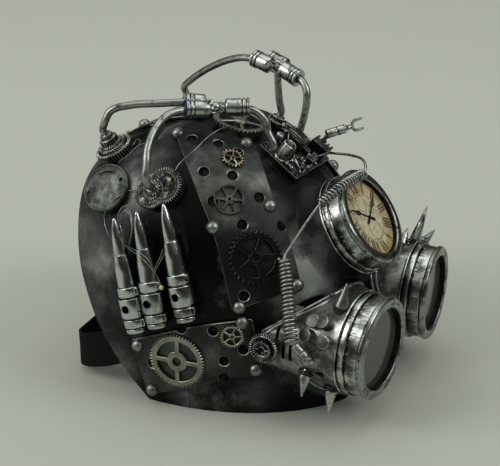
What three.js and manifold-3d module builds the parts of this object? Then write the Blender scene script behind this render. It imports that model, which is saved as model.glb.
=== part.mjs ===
// Steampunk mask: an open-backed head shell that stands on its lower rim, dressed with goggles, a
// clock, perforated plates, gears, dummy cartridges, hoses, springs and a small circuit board.
// Millimetres, +Z up. The face looks along -Y and the wearer's right side is at -X.
import * as THREE from "three";
import { ConvexGeometry } from "three/addons/geometries/ConvexGeometry.js";
import { mergeVertices } from "three/addons/utils/BufferGeometryUtils.js";
import Module from "manifold-3d";

const wasm = await Module();
wasm.setup();

// Driving dimensions of the head form: horizontal sections are superellipses that shrink to the crown.
const HEAD = {
  halfWidth: 86,
  centreY: 40,
  frontReach: 108,
  rearReach: 122,
  top: 156,
  widthTaperFrom: 40,
  widthTaperPower: 2.8,
  depthTaperFrom: 20,
  frontTaperPower: 1.9,
  rearTaperPower: 2,
  frontSectionPower: 2,
  rearSectionPower: 3,
  lowerTuck: 0.03,
};
const CORE = new THREE.Vector3(0, 40, 50);
const APEX = new THREE.Vector3(0, -0.55, 0.83);
const SHELL_WALL = 2;
const SHELL_RINGS = 8;
const RIM_STEPS = 9;
const EDGE_STEPS = 8;
const NOSE_ARCH = { height: 16, halfWidth: 24 };

// Rear rim of the shell, from the lower corner up to the crown: depth and height of each point.
const REAR_RIM = [
  { y: 42, z: 0 },
  { y: 60, z: 20 },
  { y: 75, z: 42 },
  { y: 88, z: 72 },
  { y: 97, z: 105 },
  { y: 103, z: 123 },
  { y: 108, z: 129.5 },
  { y: 110, z: 131.3 },
];

// Clearances and plate thicknesses.
const SEAT_GAP = 0.35;
const PLATE_LIFT = 1.2;
const CROWN_LIFT = 0.8;
const PLATE_TOP = 2.4;
const RIVET = { radius: 3.2, height: 2.4, sink: 0.7, sides: 6 };
const PLATE_HOLE = { radius: 3.1, sides: 6 };

// Round eye cups: three alike, two over the eyes and one holding the clock.
const CUP = {
  openingRadius: 24,
  bezelRadius: 30,
  bezelDepth: 9,
  lipDepth: 3,
  recessRadius: 26.4,
  bodyRadius: 28.8,
  bodyDepth: 16.5,
  ringRadius: 32.4,
  depth: 20.7,
  boreRadius: 25,
  paneRadius: 26,
  paneDepth: 3.4,
  paneWall: 2,
  segments: 16,
};
const GOGGLE = { x: 44, y: -92, z: 48, axis: new THREE.Vector3(-0.07, -0.997, -0.02) };
const CLOCK = {
  centre: new THREE.Vector3(0, -66, 108),
  axis: new THREE.Vector3(0, -0.84, 0.54),
  skirt: 16,
};
const EYE_BORE_RADIUS = 21;
const BORE_REACH = 80;

const HOSE = { radius: 2.25, sides: 6 };
const SLEEVE = { radius: 4.9, sides: 8 };

const v = (x, y, z) => new THREE.Vector3(x, y, z);

// Materials
const metal = (color, roughness) => new THREE.MeshStandardMaterial({ color, roughness, metalness: 1 });
const plain = (color, roughness) => new THREE.MeshStandardMaterial({ color, roughness, metalness: 0 });
const FINISH = {
  gunmetal: plain(0x3a3c3c, 0.4),
  plate: plain(0x4a4c4b, 0.4),
  castBase: plain(0x444645, 0.45),
  pewter: metal(0x8b8d8a, 0.4),
  chrome: metal(0xa9aba8, 0.25),
  nickel: metal(0xb0aa9a, 0.35),
  darkGear: metal(0x3d3b37, 0.5),
  brass: metal(0x8f7c4c, 0.4),
  smokeGlass: plain(0x2b2d2a, 0.15),
  dial: plain(0xcdb488, 0.7),
  board: plain(0x232625, 0.5),
  blackPlastic: plain(0x141515, 0.45),
  elastic: plain(0x161718, 0.9),
};

const mask = new THREE.Group();
function add(name, geometry, material, parent = mask) {
  const mesh = new THREE.Mesh(geometry, material);
  mesh.name = name;
  parent.add(mesh);
  return mesh;
}

// Solid helpers: closed meshes with shared vertices, joined and cut as solids.
function closed(geometry) {
  const bare = geometry.clone();
  bare.deleteAttribute("normal");
  bare.deleteAttribute("uv");
  const merged = mergeVertices(bare, 1e-4);
  const index = Array.from(merged.index.array);
  const position = merged.attributes.position;
  const kept = [];
  let volume = 0;
  const a = v(0, 0, 0);
  const b = v(0, 0, 0);
  const c = v(0, 0, 0);
  for (let i = 0; i < index.length; i += 3) {
    const [p, q, r] = index.slice(i, i + 3);
    if (p === q || q === r || r === p) continue;
    kept.push(p, q, r);
    a.fromBufferAttribute(position, p);
    b.fromBufferAttribute(position, q);
    c.fromBufferAttribute(position, r);
    volume += a.dot(b.cross(c));
  }
  if (volume < 0) {
    for (let i = 0; i < kept.length; i += 3) {
      [kept[i + 1], kept[i + 2]] = [kept[i + 2], kept[i + 1]];
    }
  }
  merged.setIndex(kept);
  return merged;
}

function toSolid(geometry) {
  const mesh = closed(geometry);
  const vertProperties = Float32Array.from(mesh.attributes.position.array);
  const triVerts = Uint32Array.from(mesh.index.array);
  return new wasm.Manifold(new wasm.Mesh({ numProp: 3, vertProperties, triVerts }));
}

function toGeometry(solid) {
  const mesh = solid.getMesh();
  const geometry = new THREE.BufferGeometry();
  geometry.setAttribute("position", new THREE.BufferAttribute(Float32Array.from(mesh.vertProperties), 3));
  geometry.setIndex(Array.from(mesh.triVerts));
  return geometry;
}

function join(...geometries) {
  const solids = geometries.map(toSolid);
  return toGeometry(solids.reduce((whole, next) => whole.add(next)));
}

function cut(geometry, ...tools) {
  return toGeometry(tools.map(toSolid).reduce((rest, tool) => rest.subtract(tool), toSolid(geometry)));
}

// A profile of [radius, height] rows turned about the Z axis.
function turned(profile, segments) {
  const points = profile.map(([r, z]) => new THREE.Vector2(r, z));
  return closed(new THREE.LatheGeometry(points, segments).rotateX(Math.PI / 2));
}

function rod(radius, from, to, sides) {
  return turned([[0, from], [radius, from], [radius, to], [0, to]], sides);
}

// Turns +Z to the axis and moves the origin to the point.
function aimed(geometry, point, axis, roll = 0) {
  const turn = new THREE.Quaternion().setFromUnitVectors(v(0, 0, 1), axis.clone().normalize());
  return geometry.clone().rotateZ(roll).applyQuaternion(turn).translate(point.x, point.y, point.z);
}

function aimMesh(mesh, point, axis, roll = 0) {
  mesh.quaternion.setFromUnitVectors(v(0, 0, 1), axis.clone().normalize());
  mesh.rotateZ(roll);
  mesh.position.copy(point);
  return mesh;
}

function mirrored(geometry) {
  return closed(geometry.clone().scale(-1, 1, 1));
}

// Head form
function taper(z, from, power) {
  const t = THREE.MathUtils.clamp((z - from) / (HEAD.top - from), 0, 1);
  return Math.pow(1 - Math.pow(t, power), 1 / power);
}

function formLevel(p) {
  if (p.z >= HEAD.top) return 2;
  const tuck = THREE.MathUtils.clamp((HEAD.widthTaperFrom - p.z) / HEAD.widthTaperFrom, 0, 1);
  const squeeze = 1 - HEAD.lowerTuck * tuck * tuck;
  const halfWidth = HEAD.halfWidth * squeeze * taper(p.z, HEAD.widthTaperFrom, HEAD.widthTaperPower);
  const front = p.y < HEAD.centreY;
  const reach = front
    ? HEAD.frontReach * taper(p.z, HEAD.depthTaperFrom, HEAD.frontTaperPower)
    : HEAD.rearReach * taper(p.z, HEAD.depthTaperFrom, HEAD.rearTaperPower);
  const power = front ? HEAD.frontSectionPower : HEAD.rearSectionPower;
  return Math.pow(p.x / halfWidth, 2) + Math.pow(Math.abs(p.y - HEAD.centreY) / reach, power);
}

function formNormal(p) {
  const step = 0.01;
  const slope = (axis) => {
    const ahead = p.clone().addScaledVector(axis, step);
    const behind = p.clone().addScaledVector(axis, -step);
    return formLevel(ahead) - formLevel(behind);
  };
  return v(slope(v(1, 0, 0)), slope(v(0, 1, 0)), slope(v(0, 0, 1))).normalize();
}

// The point of the form that lies in one direction from the core, with its outward normal.
function formAlong(direction) {
  let low = 0;
  let high = 260;
  for (let i = 0; i < 44; i += 1) {
    const middle = (low + high) / 2;
    if (formLevel(CORE.clone().addScaledVector(direction, middle)) < 1) low = middle;
    else high = middle;
  }
  const point = CORE.clone().addScaledVector(direction, low);
  return { point, normal: formNormal(point) };
}

const seat = (x, y, z) => formAlong(v(x, y, z).sub(CORE).normalize());

function raised(place, height) {
  return place.point.clone().addScaledVector(place.normal, height);
}

// Half of the shell's edge on the wearer's right: rear rim down to the corner, then round to the nose.
function sideX(y, z) {
  let low = 0;
  let high = HEAD.halfWidth;
  for (let i = 0; i < 40; i += 1) {
    const middle = (low + high) / 2;
    if (formLevel(v(middle, y, z)) < 1) low = middle;
    else high = middle;
  }
  return low;
}

function shellEdge() {
  const rimRows = REAR_RIM.map(({ y, z }, i) => v(i === REAR_RIM.length - 1 ? 0 : -sideX(y, z), y, z));
  const rim = new THREE.CatmullRomCurve3(rimRows.reverse()).getSpacedPoints(RIM_STEPS);
  const edge = [];
  for (let i = 1; i <= EDGE_STEPS; i += 1) {
    const angle = (Math.PI / 2) * (1 - i / EDGE_STEPS);
    const y = HEAD.centreY - HEAD.frontReach * Math.cos(angle);
    const x = -sideX(y + 0.001, 0);
    const across = Math.min(1, x / -NOSE_ARCH.halfWidth);
    const z = NOSE_ARCH.height * Math.sqrt(1 - across * across);
    edge.push(v(i === EDGE_STEPS ? 0 : x, y, z));
  }
  const right = rim.concat(edge);
  const left = right.slice(1, -1).reverse().map((p) => v(-p.x, p.y, p.z));
  return right.concat(left);
}

// Rings of form points from the apex out to the shell's edge, pushed off the form by an offset.
function shellGrid(edge, offset) {
  const apex = APEX.clone().normalize();
  const rows = [];
  for (let ring = 0; ring <= SHELL_RINGS; ring += 1) {
    const row = edge.map((end) => {
      const target = end.clone().sub(CORE).normalize();
      const angle = apex.angleTo(target);
      const hinge = apex.clone().cross(target).normalize();
      const place = formAlong(apex.clone().applyAxisAngle(hinge, (angle * ring) / SHELL_RINGS));
      const point = raised(place, offset);
      if (ring === SHELL_RINGS && end.z < 0.01) point.z = 0;
      return point;
    });
    rows.push(ring === 0 ? [row[0]] : row);
  }
  return rows;
}

function meshOf(points, triangles) {
  const geometry = new THREE.BufferGeometry().setFromPoints(points);
  geometry.setIndex(triangles);
  return geometry;
}

// Triangles of one polar grid, with its vertices starting at a base index.
function gridTriangles(base, count, flip) {
  const out = [];
  const at = (ring, spoke) => (ring === 0 ? base : base + 1 + (ring - 1) * count + (spoke % count));
  const push = (p, q, r) => out.push(...(flip ? [p, r, q] : [p, q, r]));
  for (let spoke = 0; spoke < count; spoke += 1) {
    push(at(0, 0), at(1, spoke), at(1, spoke + 1));
    for (let ring = 1; ring < SHELL_RINGS; ring += 1) {
      push(at(ring, spoke), at(ring + 1, spoke), at(ring + 1, spoke + 1));
      push(at(ring, spoke), at(ring + 1, spoke + 1), at(ring, spoke + 1));
    }
  }
  return out;
}

const EDGE = shellEdge();

function shellSolid() {
  const outer = shellGrid(EDGE, 0).flat();
  const inner = shellGrid(EDGE, -SHELL_WALL).flat();
  const count = EDGE.length;
  const triangles = gridTriangles(0, count, false).concat(gridTriangles(outer.length, count, true));
  const lastRing = 1 + (SHELL_RINGS - 1) * count;
  for (let spoke = 0; spoke < count; spoke += 1) {
    const a = lastRing + spoke;
    const b = lastRing + ((spoke + 1) % count);
    triangles.push(a, a + outer.length, b + outer.length, a, b + outer.length, b);
  }
  return closed(meshOf(outer.concat(inner), triangles));
}

// The head form itself as a solid, a little larger than the shell: it trims what is glued on.
function seatForm() {
  const outer = shellGrid(EDGE, SEAT_GAP).flat();
  const count = EDGE.length;
  const triangles = gridTriangles(0, count, false);
  const lastRing = 1 + (SHELL_RINGS - 1) * count;
  for (let spoke = 0; spoke < count; spoke += 1) {
    triangles.push(lastRing + spoke, outer.length, lastRing + ((spoke + 1) % count));
  }
  return closed(meshOf(outer.concat([CORE.clone()]), triangles));
}

const SEAT_FORM = seatForm();
const seated = (geometry) => cut(geometry, SEAT_FORM);

const gogglePoint = v(-GOGGLE.x, GOGGLE.y, GOGGLE.z);
const eyeRod = rod(EYE_BORE_RADIUS, -BORE_REACH, -CUP.depth - 4, CUP.segments);
const eyeBore = aimed(eyeRod, gogglePoint, GOGGLE.axis);
add("mask_shell", cut(shellSolid(), eyeBore, mirrored(eyeBore)), FINISH.gunmetal);

// Plates: a patch of the form between two edge curves, thickened, drilled and riveted.
function patch(edgeA, edgeB, along, across, lift = PLATE_LIFT) {
  const curveA = new THREE.CatmullRomCurve3(edgeA.map((p) => v(...p)));
  const curveB = new THREE.CatmullRomCurve3(edgeB.map((p) => v(...p)));
  const low = [];
  const high = [];
  for (let i = 0; i <= along; i += 1) {
    for (let j = 0; j <= across; j += 1) {
      const p = curveA.getPoint(i / along).lerp(curveB.getPoint(i / along), j / across);
      const place = seat(p.x, p.y, p.z);
      low.push(raised(place, lift));
      high.push(raised(place, PLATE_TOP));
    }
  }
  const row = across + 1;
  const top = low.length;
  const triangles = [];
  const quad = (a, b, c, d) => triangles.push(a, b, c, a, c, d);
  for (let i = 0; i < along; i += 1) {
    for (let j = 0; j < across; j += 1) {
      const a = i * row + j;
      quad(a, a + 1, a + row + 1, a + row);
      quad(top + a, top + a + row, top + a + row + 1, top + a + 1);
    }
    quad(i * row, (i + 1) * row, top + (i + 1) * row, top + i * row);
    quad(i * row + across, top + i * row + across, top + (i + 1) * row + across, (i + 1) * row + across);
  }
  for (let j = 0; j < across; j += 1) {
    const end = along * row + j;
    quad(j, top + j, top + j + 1, j + 1);
    quad(end, end + 1, top + end + 1, top + end);
  }
  return closed(meshOf(low.concat(high), triangles));
}

function plateHole([x, y, z]) {
  const place = seat(x, y, z);
  const pin = rod(PLATE_HOLE.radius, PLATE_LIFT - 2, PLATE_TOP + 2, PLATE_HOLE.sides);
  return aimed(pin, place.point, place.normal);
}

function rivetOn([x, y, z]) {
  const place = seat(x, y, z);
  const { radius, height, sink, sides } = RIVET;
  const profile = [[0, -sink], [radius, -sink], [radius * 0.8, height * 0.7], [0, height]];
  return aimed(turned(profile, sides), raised(place, PLATE_TOP), place.normal);
}

function dressed(plate, holes, rivets) {
  return join(cut(plate, ...holes.map(plateHole)), ...rivets.map(rivetOn));
}

// Perforated strap down each side: edge points from the crown to the cheek.
const BAND_REAR = [[-34, 50, 152.5], [-62.5, 19, 131], [-69.5, 4, 110], [-74, -10.5, 67]];
const BAND_FRONT = [[-18, 6.5, 147], [-37, -15.5, 125.5], [-42.5, -28, 107], [-47, -40, 78]];
const BAND_HOLES = [
  [-38.5, 35.5, 151], [-34.5, 20.5, 149], [-54.5, 18.5, 138.5], [-46.5, 4.5, 136],
  [-44.5, -11.5, 125], [-59, -8.5, 113], [-43, -25, 110], [-69.5, -15.5, 75.5],
];
const BAND_RIVETS = [
  [-36, 46, 151], [-22, 9, 147], [-42.4, -17.3, 120],
  [-68, 5, 112], [-71.7, -13.9, 69], [-48.8, -38.4, 78.5],
];
const leftOf = (rows) => rows.map(([x, y, z]) => [-x, y, z]);
const bandPatch = patch(BAND_REAR, BAND_FRONT, 8, 3);
add("side_band_right", dressed(bandPatch, BAND_HOLES, BAND_RIVETS), FINISH.plate);
add("side_band_left", mirrored(bandPatch), FINISH.plate);

// Strip along the midline of the crown.
const CROWN_EDGE = [[-10, 107, 132], [-10, 85, 144], [-10, 60, 151], [-10, 44, 154]];
const CROWN_RIVETS = [[0, 100, 138], [0, 50, 154]];
const crownPatch = patch(CROWN_EDGE, leftOf(CROWN_EDGE), 5, 2, CROWN_LIFT);
add("crown_plate", dressed(crownPatch, [], CROWN_RIVETS), FINISH.plate);

// Perforated plates low on each side.
const CHEEK_TOP = [[-86, 50, 40], [-85.5, 30, 48.5], [-81, 7, 58], [-74.5, -11.5, 59]];
const CHEEK_LOW = [[-84, 41, 6], [-83.5, 20, 13], [-77, -7, 24], [-67, -27, 28]];
const CHEEK_HOLES = [[-79, -1, 54.5], [-72.5, -17, 43.5], [-77.3, -7, 36], [-84.5, 36, 28]];
const CHEEK_RIVETS = [[-86, 45.5, 37.5], [-84.3, 37.5, 9.5], [-69, -23, 31]];

// Eye cups and clock
function cupBody(skirt) {
  const c = CUP;
  const back = -c.depth - skirt;
  const profile = [
    [c.boreRadius, back], [c.ringRadius - 1.6, back], [c.ringRadius - 1.6, -c.depth],
    [c.ringRadius, -c.depth], [c.ringRadius, -c.bodyDepth], [c.bodyRadius, -c.bodyDepth + 0.6],
    [c.bodyRadius, -c.bezelDepth - SEAT_GAP], [c.boreRadius, -c.bezelDepth - SEAT_GAP],
    [c.boreRadius, back],
  ];
  const bare = profile.filter(([r, z], i) => skirt > 0 || i === 0 || i > 2);
  return turned(bare, c.segments);
}

function cupBezel() {
  const c = CUP;
  return turned([
    [c.openingRadius, 0], [c.openingRadius, -c.lipDepth], [c.recessRadius, -c.lipDepth],
    [c.recessRadius, -c.bezelDepth], [c.bezelRadius, -c.bezelDepth], [c.bezelRadius, -2],
    [c.bezelRadius - 1.8, 0], [c.openingRadius, 0],
  ], c.segments);
}

const cupPane = () => rod(CUP.paneRadius, -CUP.paneDepth - CUP.paneWall, -CUP.paneDepth, CUP.segments);

// Moulded base of one goggle: a hull from the round cup back to a rounded tab at the temple.
const TEMPLE = { point: [-67, -26, 48.4], lift: 3, radius: 13, sink: 9 };
function goggleBlank(grow) {
  const points = [];
  const ring = (centre, axis, radius, count) => {
    const turn = new THREE.Quaternion().setFromUnitVectors(v(0, 0, 1), axis.clone().normalize());
    for (let i = 0; i < count; i += 1) {
      const angle = (2 * Math.PI * i) / count;
      const arm = v(radius * Math.cos(angle), radius * Math.sin(angle), 0);
      points.push(arm.applyQuaternion(turn).add(centre));
    }
  };
  const behind = (depth) => gogglePoint.clone().addScaledVector(GOGGLE.axis, -depth);
  const place = seat(...TEMPLE.point);
  ring(behind(CUP.depth + SEAT_GAP - grow), GOGGLE.axis, CUP.ringRadius - 0.8 + grow, CUP.segments);
  ring(behind(CUP.depth + 34), GOGGLE.axis, CUP.ringRadius - 5 + grow, 8);
  ring(raised(place, TEMPLE.lift + grow), place.normal, TEMPLE.radius - 2 + grow, 8);
  ring(raised(place, -TEMPLE.sink), place.normal, TEMPLE.radius + grow, 8);
  return new ConvexGeometry(points);
}

const baseRod = rod(EYE_BORE_RADIUS + 1, -BORE_REACH, -CUP.depth + 2, CUP.segments);
const goggleBore = aimed(baseRod, gogglePoint, GOGGLE.axis);
const plainBase = cut(seated(goggleBlank(0)), goggleBore);

// Studs and strap slots on the near base: a point on its side wall and the outward direction there.
const STUD = { radius: 3.8, height: 3, sink: 2, sides: 6 };
const BASE_STUDS = [
  { point: v(-66.4, -58, 67.5), axis: v(-0.75, 0.06, 0.66) },
  { point: v(-66.8, -65.4, 67.8), axis: v(-0.72, 0, 0.69) },
  { point: v(-71.2, -57, 60.8), axis: v(-0.92, 0, 0.39) },
  { point: v(-73, -64.9, 57.5), axis: v(-0.95, 0, 0.3) },
  { point: v(-74.3, -57, 45), axis: v(-1, 0, 0) },
];
const SLOT = { depth: 4, width: 2, height: 9 };
const BASE_SLOTS = [v(-72.5, -38.7, 58), v(-74.6, -43.4, 47.5), v(-74.6, -48, 47.5)];
const studs = BASE_STUDS.map(({ point, axis }) => {
  const { radius, height, sink, sides } = STUD;
  const profile = [[0, -sink], [radius, -sink], [radius * 0.85, height], [0, height]];
  return aimed(turned(profile, sides), point, axis);
});
const slots = BASE_SLOTS.map((p) => {
  return new THREE.BoxGeometry(2 * SLOT.depth, SLOT.width, SLOT.height).translate(p.x, p.y, p.z);
});
add("goggle_base_right", join(cut(plainBase, ...slots), ...studs), FINISH.castBase);
add("goggle_base_left", mirrored(plainBase), FINISH.castBase);

// The cheek plates stop short of the goggle bases.
const cheekPatch = cut(patch(CHEEK_TOP, CHEEK_LOW, 6, 3), goggleBlank(SEAT_GAP));
add("cheek_plate_right", dressed(cheekPatch, CHEEK_HOLES, CHEEK_RIVETS), FINISH.plate);
add("cheek_plate_left", mirrored(cheekPatch), FINISH.plate);

for (const [side, sign] of [["right", 1], ["left", -1]]) {
  const point = v(sign * gogglePoint.x, gogglePoint.y, gogglePoint.z);
  const axis = v(sign * GOGGLE.axis.x, GOGGLE.axis.y, GOGGLE.axis.z);
  aimMesh(add(`goggle_cup_${side}`, cupBody(0), FINISH.chrome), point, axis);
  aimMesh(add(`goggle_bezel_${side}`, cupBezel(), FINISH.chrome), point, axis);
  aimMesh(add(`goggle_lens_${side}`, cupPane(), FINISH.smokeGlass), point, axis);
}
add("clock_cup", seated(aimed(cupBody(CLOCK.skirt), CLOCK.centre, CLOCK.axis)), FINISH.chrome);
aimMesh(add("clock_bezel", cupBezel(), FINISH.chrome), CLOCK.centre, CLOCK.axis);
aimMesh(add("clock_dial", cupPane(), FINISH.dial), CLOCK.centre, CLOCK.axis);

// Spikes screwed to the goggle bases: foot, direction and length. Each foot is trimmed to its base.
const SPIKE = { radius: 3.7, washer: 4.3, washerWall: 1.6, sink: 3, tip: 0.4, sides: 6 };
const SPIKES = [
  { name: "spike_right_top", foot: v(-58, -66, 75.4), axis: v(0.4, -0.28, 0.87), length: 15 },
  { name: "spike_right_low_rear", foot: v(-70.8, -55.2, 35.1), axis: v(-0.43, 0, -0.9), length: 13.5 },
  { name: "spike_right_low_front", foot: v(-63, -64.4, 24.6), axis: v(0.12, -0.05, -0.99), length: 15 },
  { name: "spike_left_tall", foot: v(46, -66, 79.3), axis: v(0.42, -0.34, 0.84), length: 25 },
  { name: "spike_left_side", foot: v(61.6, -65.6, 73.4), axis: v(0.61, -0.66, 0.44), length: 18 },
  { name: "spike_left_small", foot: v(34, -63, 79), axis: v(0.2, -0.25, 0.95), length: 13 },
];
function spike(length) {
  const { radius, washer, washerWall, sink, tip, sides } = SPIKE;
  return turned([
    [0, -sink], [washer, -sink], [washer, washerWall], [radius, washerWall], [tip, length], [0, length],
  ], sides);
}
for (const { name, foot, axis, length } of SPIKES) {
  const blank = foot.x < 0 ? goggleBlank(SEAT_GAP) : mirrored(goggleBlank(SEAT_GAP));
  add(name, cut(aimed(spike(length), foot, axis), blank), FINISH.chrome);
}

// Flat outlines made of polar points, and the discs cut from them.
const polar = (radius, angle) => new THREE.Vector2(radius * Math.cos(angle), radius * Math.sin(angle));

function toothed(radius, root, teeth) {
  const points = [];
  for (let i = 0; i < teeth; i += 1) {
    points.push(polar(root, (2 * Math.PI * i) / teeth), polar(radius, (2 * Math.PI * (i + 0.5)) / teeth));
  }
  return new THREE.Shape(points);
}

function extruded(shape, from, to) {
  const geometry = new THREE.ExtrudeGeometry(shape, { depth: to - from, bevelEnabled: false });
  return closed(geometry.translate(0, 0, from));
}

// A spoked gear: teeth outside, a shaft hole, and windows from hub to rim between the spokes.
const SHAFT_SIDES = 6;
function gearShape({ teeth, radius, tooth, shaft, spokes, rim, hub, spoke }) {
  const shape = toothed(radius, radius - tooth, teeth);
  const hole = [];
  for (let k = 0; k < SHAFT_SIDES; k += 1) hole.push(polar(shaft, (-2 * Math.PI * k) / SHAFT_SIDES));
  shape.holes.push(new THREE.Path(hole));
  for (let i = 0; i < spokes; i += 1) {
    const middle = (2 * Math.PI * (i + 0.5)) / spokes;
    const outer = Math.PI / spokes - spoke / 2 / rim;
    const inner = Math.PI / spokes - spoke / 2 / hub;
    shape.holes.push(new THREE.Path([
      polar(hub, middle - inner), polar(rim, middle - outer), polar(rim, middle),
      polar(rim, middle + outer), polar(hub, middle + inner),
    ]));
  }
  return shape;
}

// Gears glued on the plates, each on the form point that it covers.
const GEAR_WALL = 1.2;
const GEARS = [
  {
    name: "cheek_gear_large", at: [-84.3, 19.3, 33.2], finish: FINISH.nickel,
    teeth: 24, radius: 17.1, tooth: 1.8, shaft: 1.8, spokes: 4, rim: 12.4, hub: 4.6, spoke: 3.2,
  },
  {
    name: "cheek_gear_small", at: [-74.7, -11, 52], finish: FINISH.nickel,
    teeth: 12, radius: 7, tooth: 1.2, shaft: 1, spokes: 5, rim: 4.9, hub: 2.4, spoke: 1.3,
  },
  {
    name: "band_gear_small", at: [-39, 8.8, 142.5], finish: FINISH.brass,
    teeth: 10, radius: 6.9, tooth: 1.4, shaft: 0.9, spokes: 5, rim: 4.5, hub: 2.1, spoke: 1.2,
  },
  {
    name: "band_gear_mid", at: [-56.7, 1, 125.3], finish: FINISH.darkGear,
    teeth: 14, radius: 9, tooth: 0.7, shaft: 1.1, spokes: 6, rim: 6.9, hub: 2.8, spoke: 1.6,
  },
  {
    name: "band_gear_large", at: [-61, -18, 96], finish: FINISH.darkGear,
    teeth: 16, radius: 15.6, tooth: 1.2, shaft: 2.2, spokes: 5, rim: 11.4, hub: 4.4, spoke: 4,
  },
];
for (const gear of GEARS) {
  const place = seat(...gear.at);
  const wheel = extruded(gearShape(gear), 0, GEAR_WALL);
  aimMesh(add(gear.name, wheel, gear.finish), raised(place, PLATE_TOP + SEAT_GAP), place.normal);
}

// The crown gear stands on a boss that reaches down to the shell, clear of the side bands.
const CROWN_GEAR = {
  at: [-4, 23, 154], boss: 4, bossTop: 4.6, low: 2.7,
  teeth: 18, radius: 16.8, tooth: 1.6, shaft: 2, spokes: 5, rim: 12.4, hub: 4.6, spoke: 2.6,
};
const crownWheel = join(
  extruded(gearShape(CROWN_GEAR), CROWN_GEAR.low, CROWN_GEAR.low + GEAR_WALL),
  rod(CROWN_GEAR.boss, -2, CROWN_GEAR.bossTop, 8),
);
const crownPlace = seat(...CROWN_GEAR.at);
add("crown_gear", seated(aimed(crownWheel, crownPlace.point, crownPlace.normal)), FINISH.nickel);

// Stacked gears: plain toothed discs, one on another. Each tier is its radius, teeth, foot and top.
const ROOT_SHARE = 0.86;
function tier({ radius, teeth, from, to }) {
  return extruded(toothed(radius, radius * ROOT_SHARE, teeth), from, to);
}

const PINION = {
  point: v(-75.2, -31.8, 48.6),
  axis: v(-1, -0.03, 0.04),
  tiers: [{ radius: 8.4, teeth: 13, from: 0.3, to: 1.8 }, { radius: 4.8, teeth: 9, from: 1.7, to: 4 }],
};
aimMesh(add("cheek_pinion", join(...PINION.tiers.map(tier)), FINISH.darkGear), PINION.point, PINION.axis);

const STACK_HUB = { radius: 3.2, foot: -6, sides: 6 };
const STACKS = {
  gear_stack_side: {
    at: [-69, 39.5, 128], axis: v(-0.83, -0.01, 0.56), top: 11,
    tiers: [
      { radius: 11.6, teeth: 14, from: 1.4, to: 4.4 },
      { radius: 8.4, teeth: 10, from: 4.3, to: 7.4 },
    ],
  },
  gear_stack_rear_right: {
    at: [-46, 84, 139], axis: v(-0.42, 0.25, 0.87), top: 15.5,
    tiers: [
      { radius: 11.8, teeth: 14, from: 2.4, to: 5.4 },
      { radius: 9.4, teeth: 11, from: 5.3, to: 8.6 },
      { radius: 6.6, teeth: 8, from: 8.5, to: 12 },
    ],
  },
  gear_stack_rear_left: {
    at: [40, 86, 139], axis: v(0.3, 0.25, 0.92), top: 14,
    tiers: [{ radius: 11.6, teeth: 12, from: 2, to: 5 }, { radius: 8.4, teeth: 10, from: 4.9, to: 9 }],
  },
  gear_stack_front: {
    at: [22, 11.5, 150], axis: seat(22, 11.5, 150).normal, foot: PLATE_TOP + 2 * SEAT_GAP, top: 7.6,
    tiers: [{ radius: 6.6, teeth: 9, from: 3.3, to: 5 }, { radius: 4.6, teeth: 8, from: 4.9, to: 6.4 }],
  },
};
for (const [name, stack] of Object.entries(STACKS)) {
  const hub = rod(STACK_HUB.radius, stack.foot ?? STACK_HUB.foot, stack.top, STACK_HUB.sides);
  const whole = join(hub, ...stack.tiers.map(tier));
  add(name, seated(aimed(whole, seat(...stack.at).point, stack.axis)), FINISH.darkGear);
}
function aboveStack(name, height) {
  const { at, axis, top } = STACKS[name];
  return seat(...at).point.addScaledVector(axis.clone().normalize(), top + height);
}
const outOfStack = (name) => [aboveStack(name, SEAT_GAP), aboveStack(name, HOSE.radius)];

// Round pewter cap with a rolled rim.
const CAP = { at: [-68.6, 74.4, 123.7], radius: 15, rim: 3.8, face: 2.6, sink: 3 };
const capProfile = [
  [0, -CAP.sink], [CAP.radius, -CAP.sink], [CAP.radius, CAP.rim - 0.8], [CAP.radius - 1, CAP.rim],
  [CAP.radius - 2.2, CAP.face], [0, CAP.face],
];
const capPlace = seat(...CAP.at);
const cap = aimed(turned(capProfile, CUP.segments), capPlace.point, capPlace.normal);
add("round_cap", seated(cap), FINISH.pewter);

// Dummy cartridges in belt links: foot and tip of each, and the turned profile that they share.
const CARTRIDGES = [
  { foot: v(-92.6, 42.4, 49.6), tip: v(-89.4, 58, 116.5) },
  { foot: v(-92.2, 28.1, 55.7), tip: v(-88.3, 43, 122.3) },
  { foot: v(-89.6, 10.3, 62.5), tip: v(-85, 26.7, 127.4) },
];
const CARTRIDGE_SIDES = 8;
const CARTRIDGE_PROFILE = [
  [0, 0], [5.9, 0], [5.9, 2.5], [4.9, 2.9], [6.3, 3.1], [6.3, 21], [5.3, 21.3], [6.3, 22],
  [6.3, 27.4], [5.1, 27.6], [4.9, 41], [3.8, 46.5], [3.1, 56], [0.6, 67.6], [0, 68],
];
CARTRIDGES.forEach(({ foot, tip }, i) => {
  const mesh = add(`cartridge_${i + 1}`, turned(CARTRIDGE_PROFILE, CARTRIDGE_SIDES), FINISH.chrome);
  aimMesh(mesh, foot, tip.clone().sub(foot), Math.PI / CARTRIDGE_SIDES);
});

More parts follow.
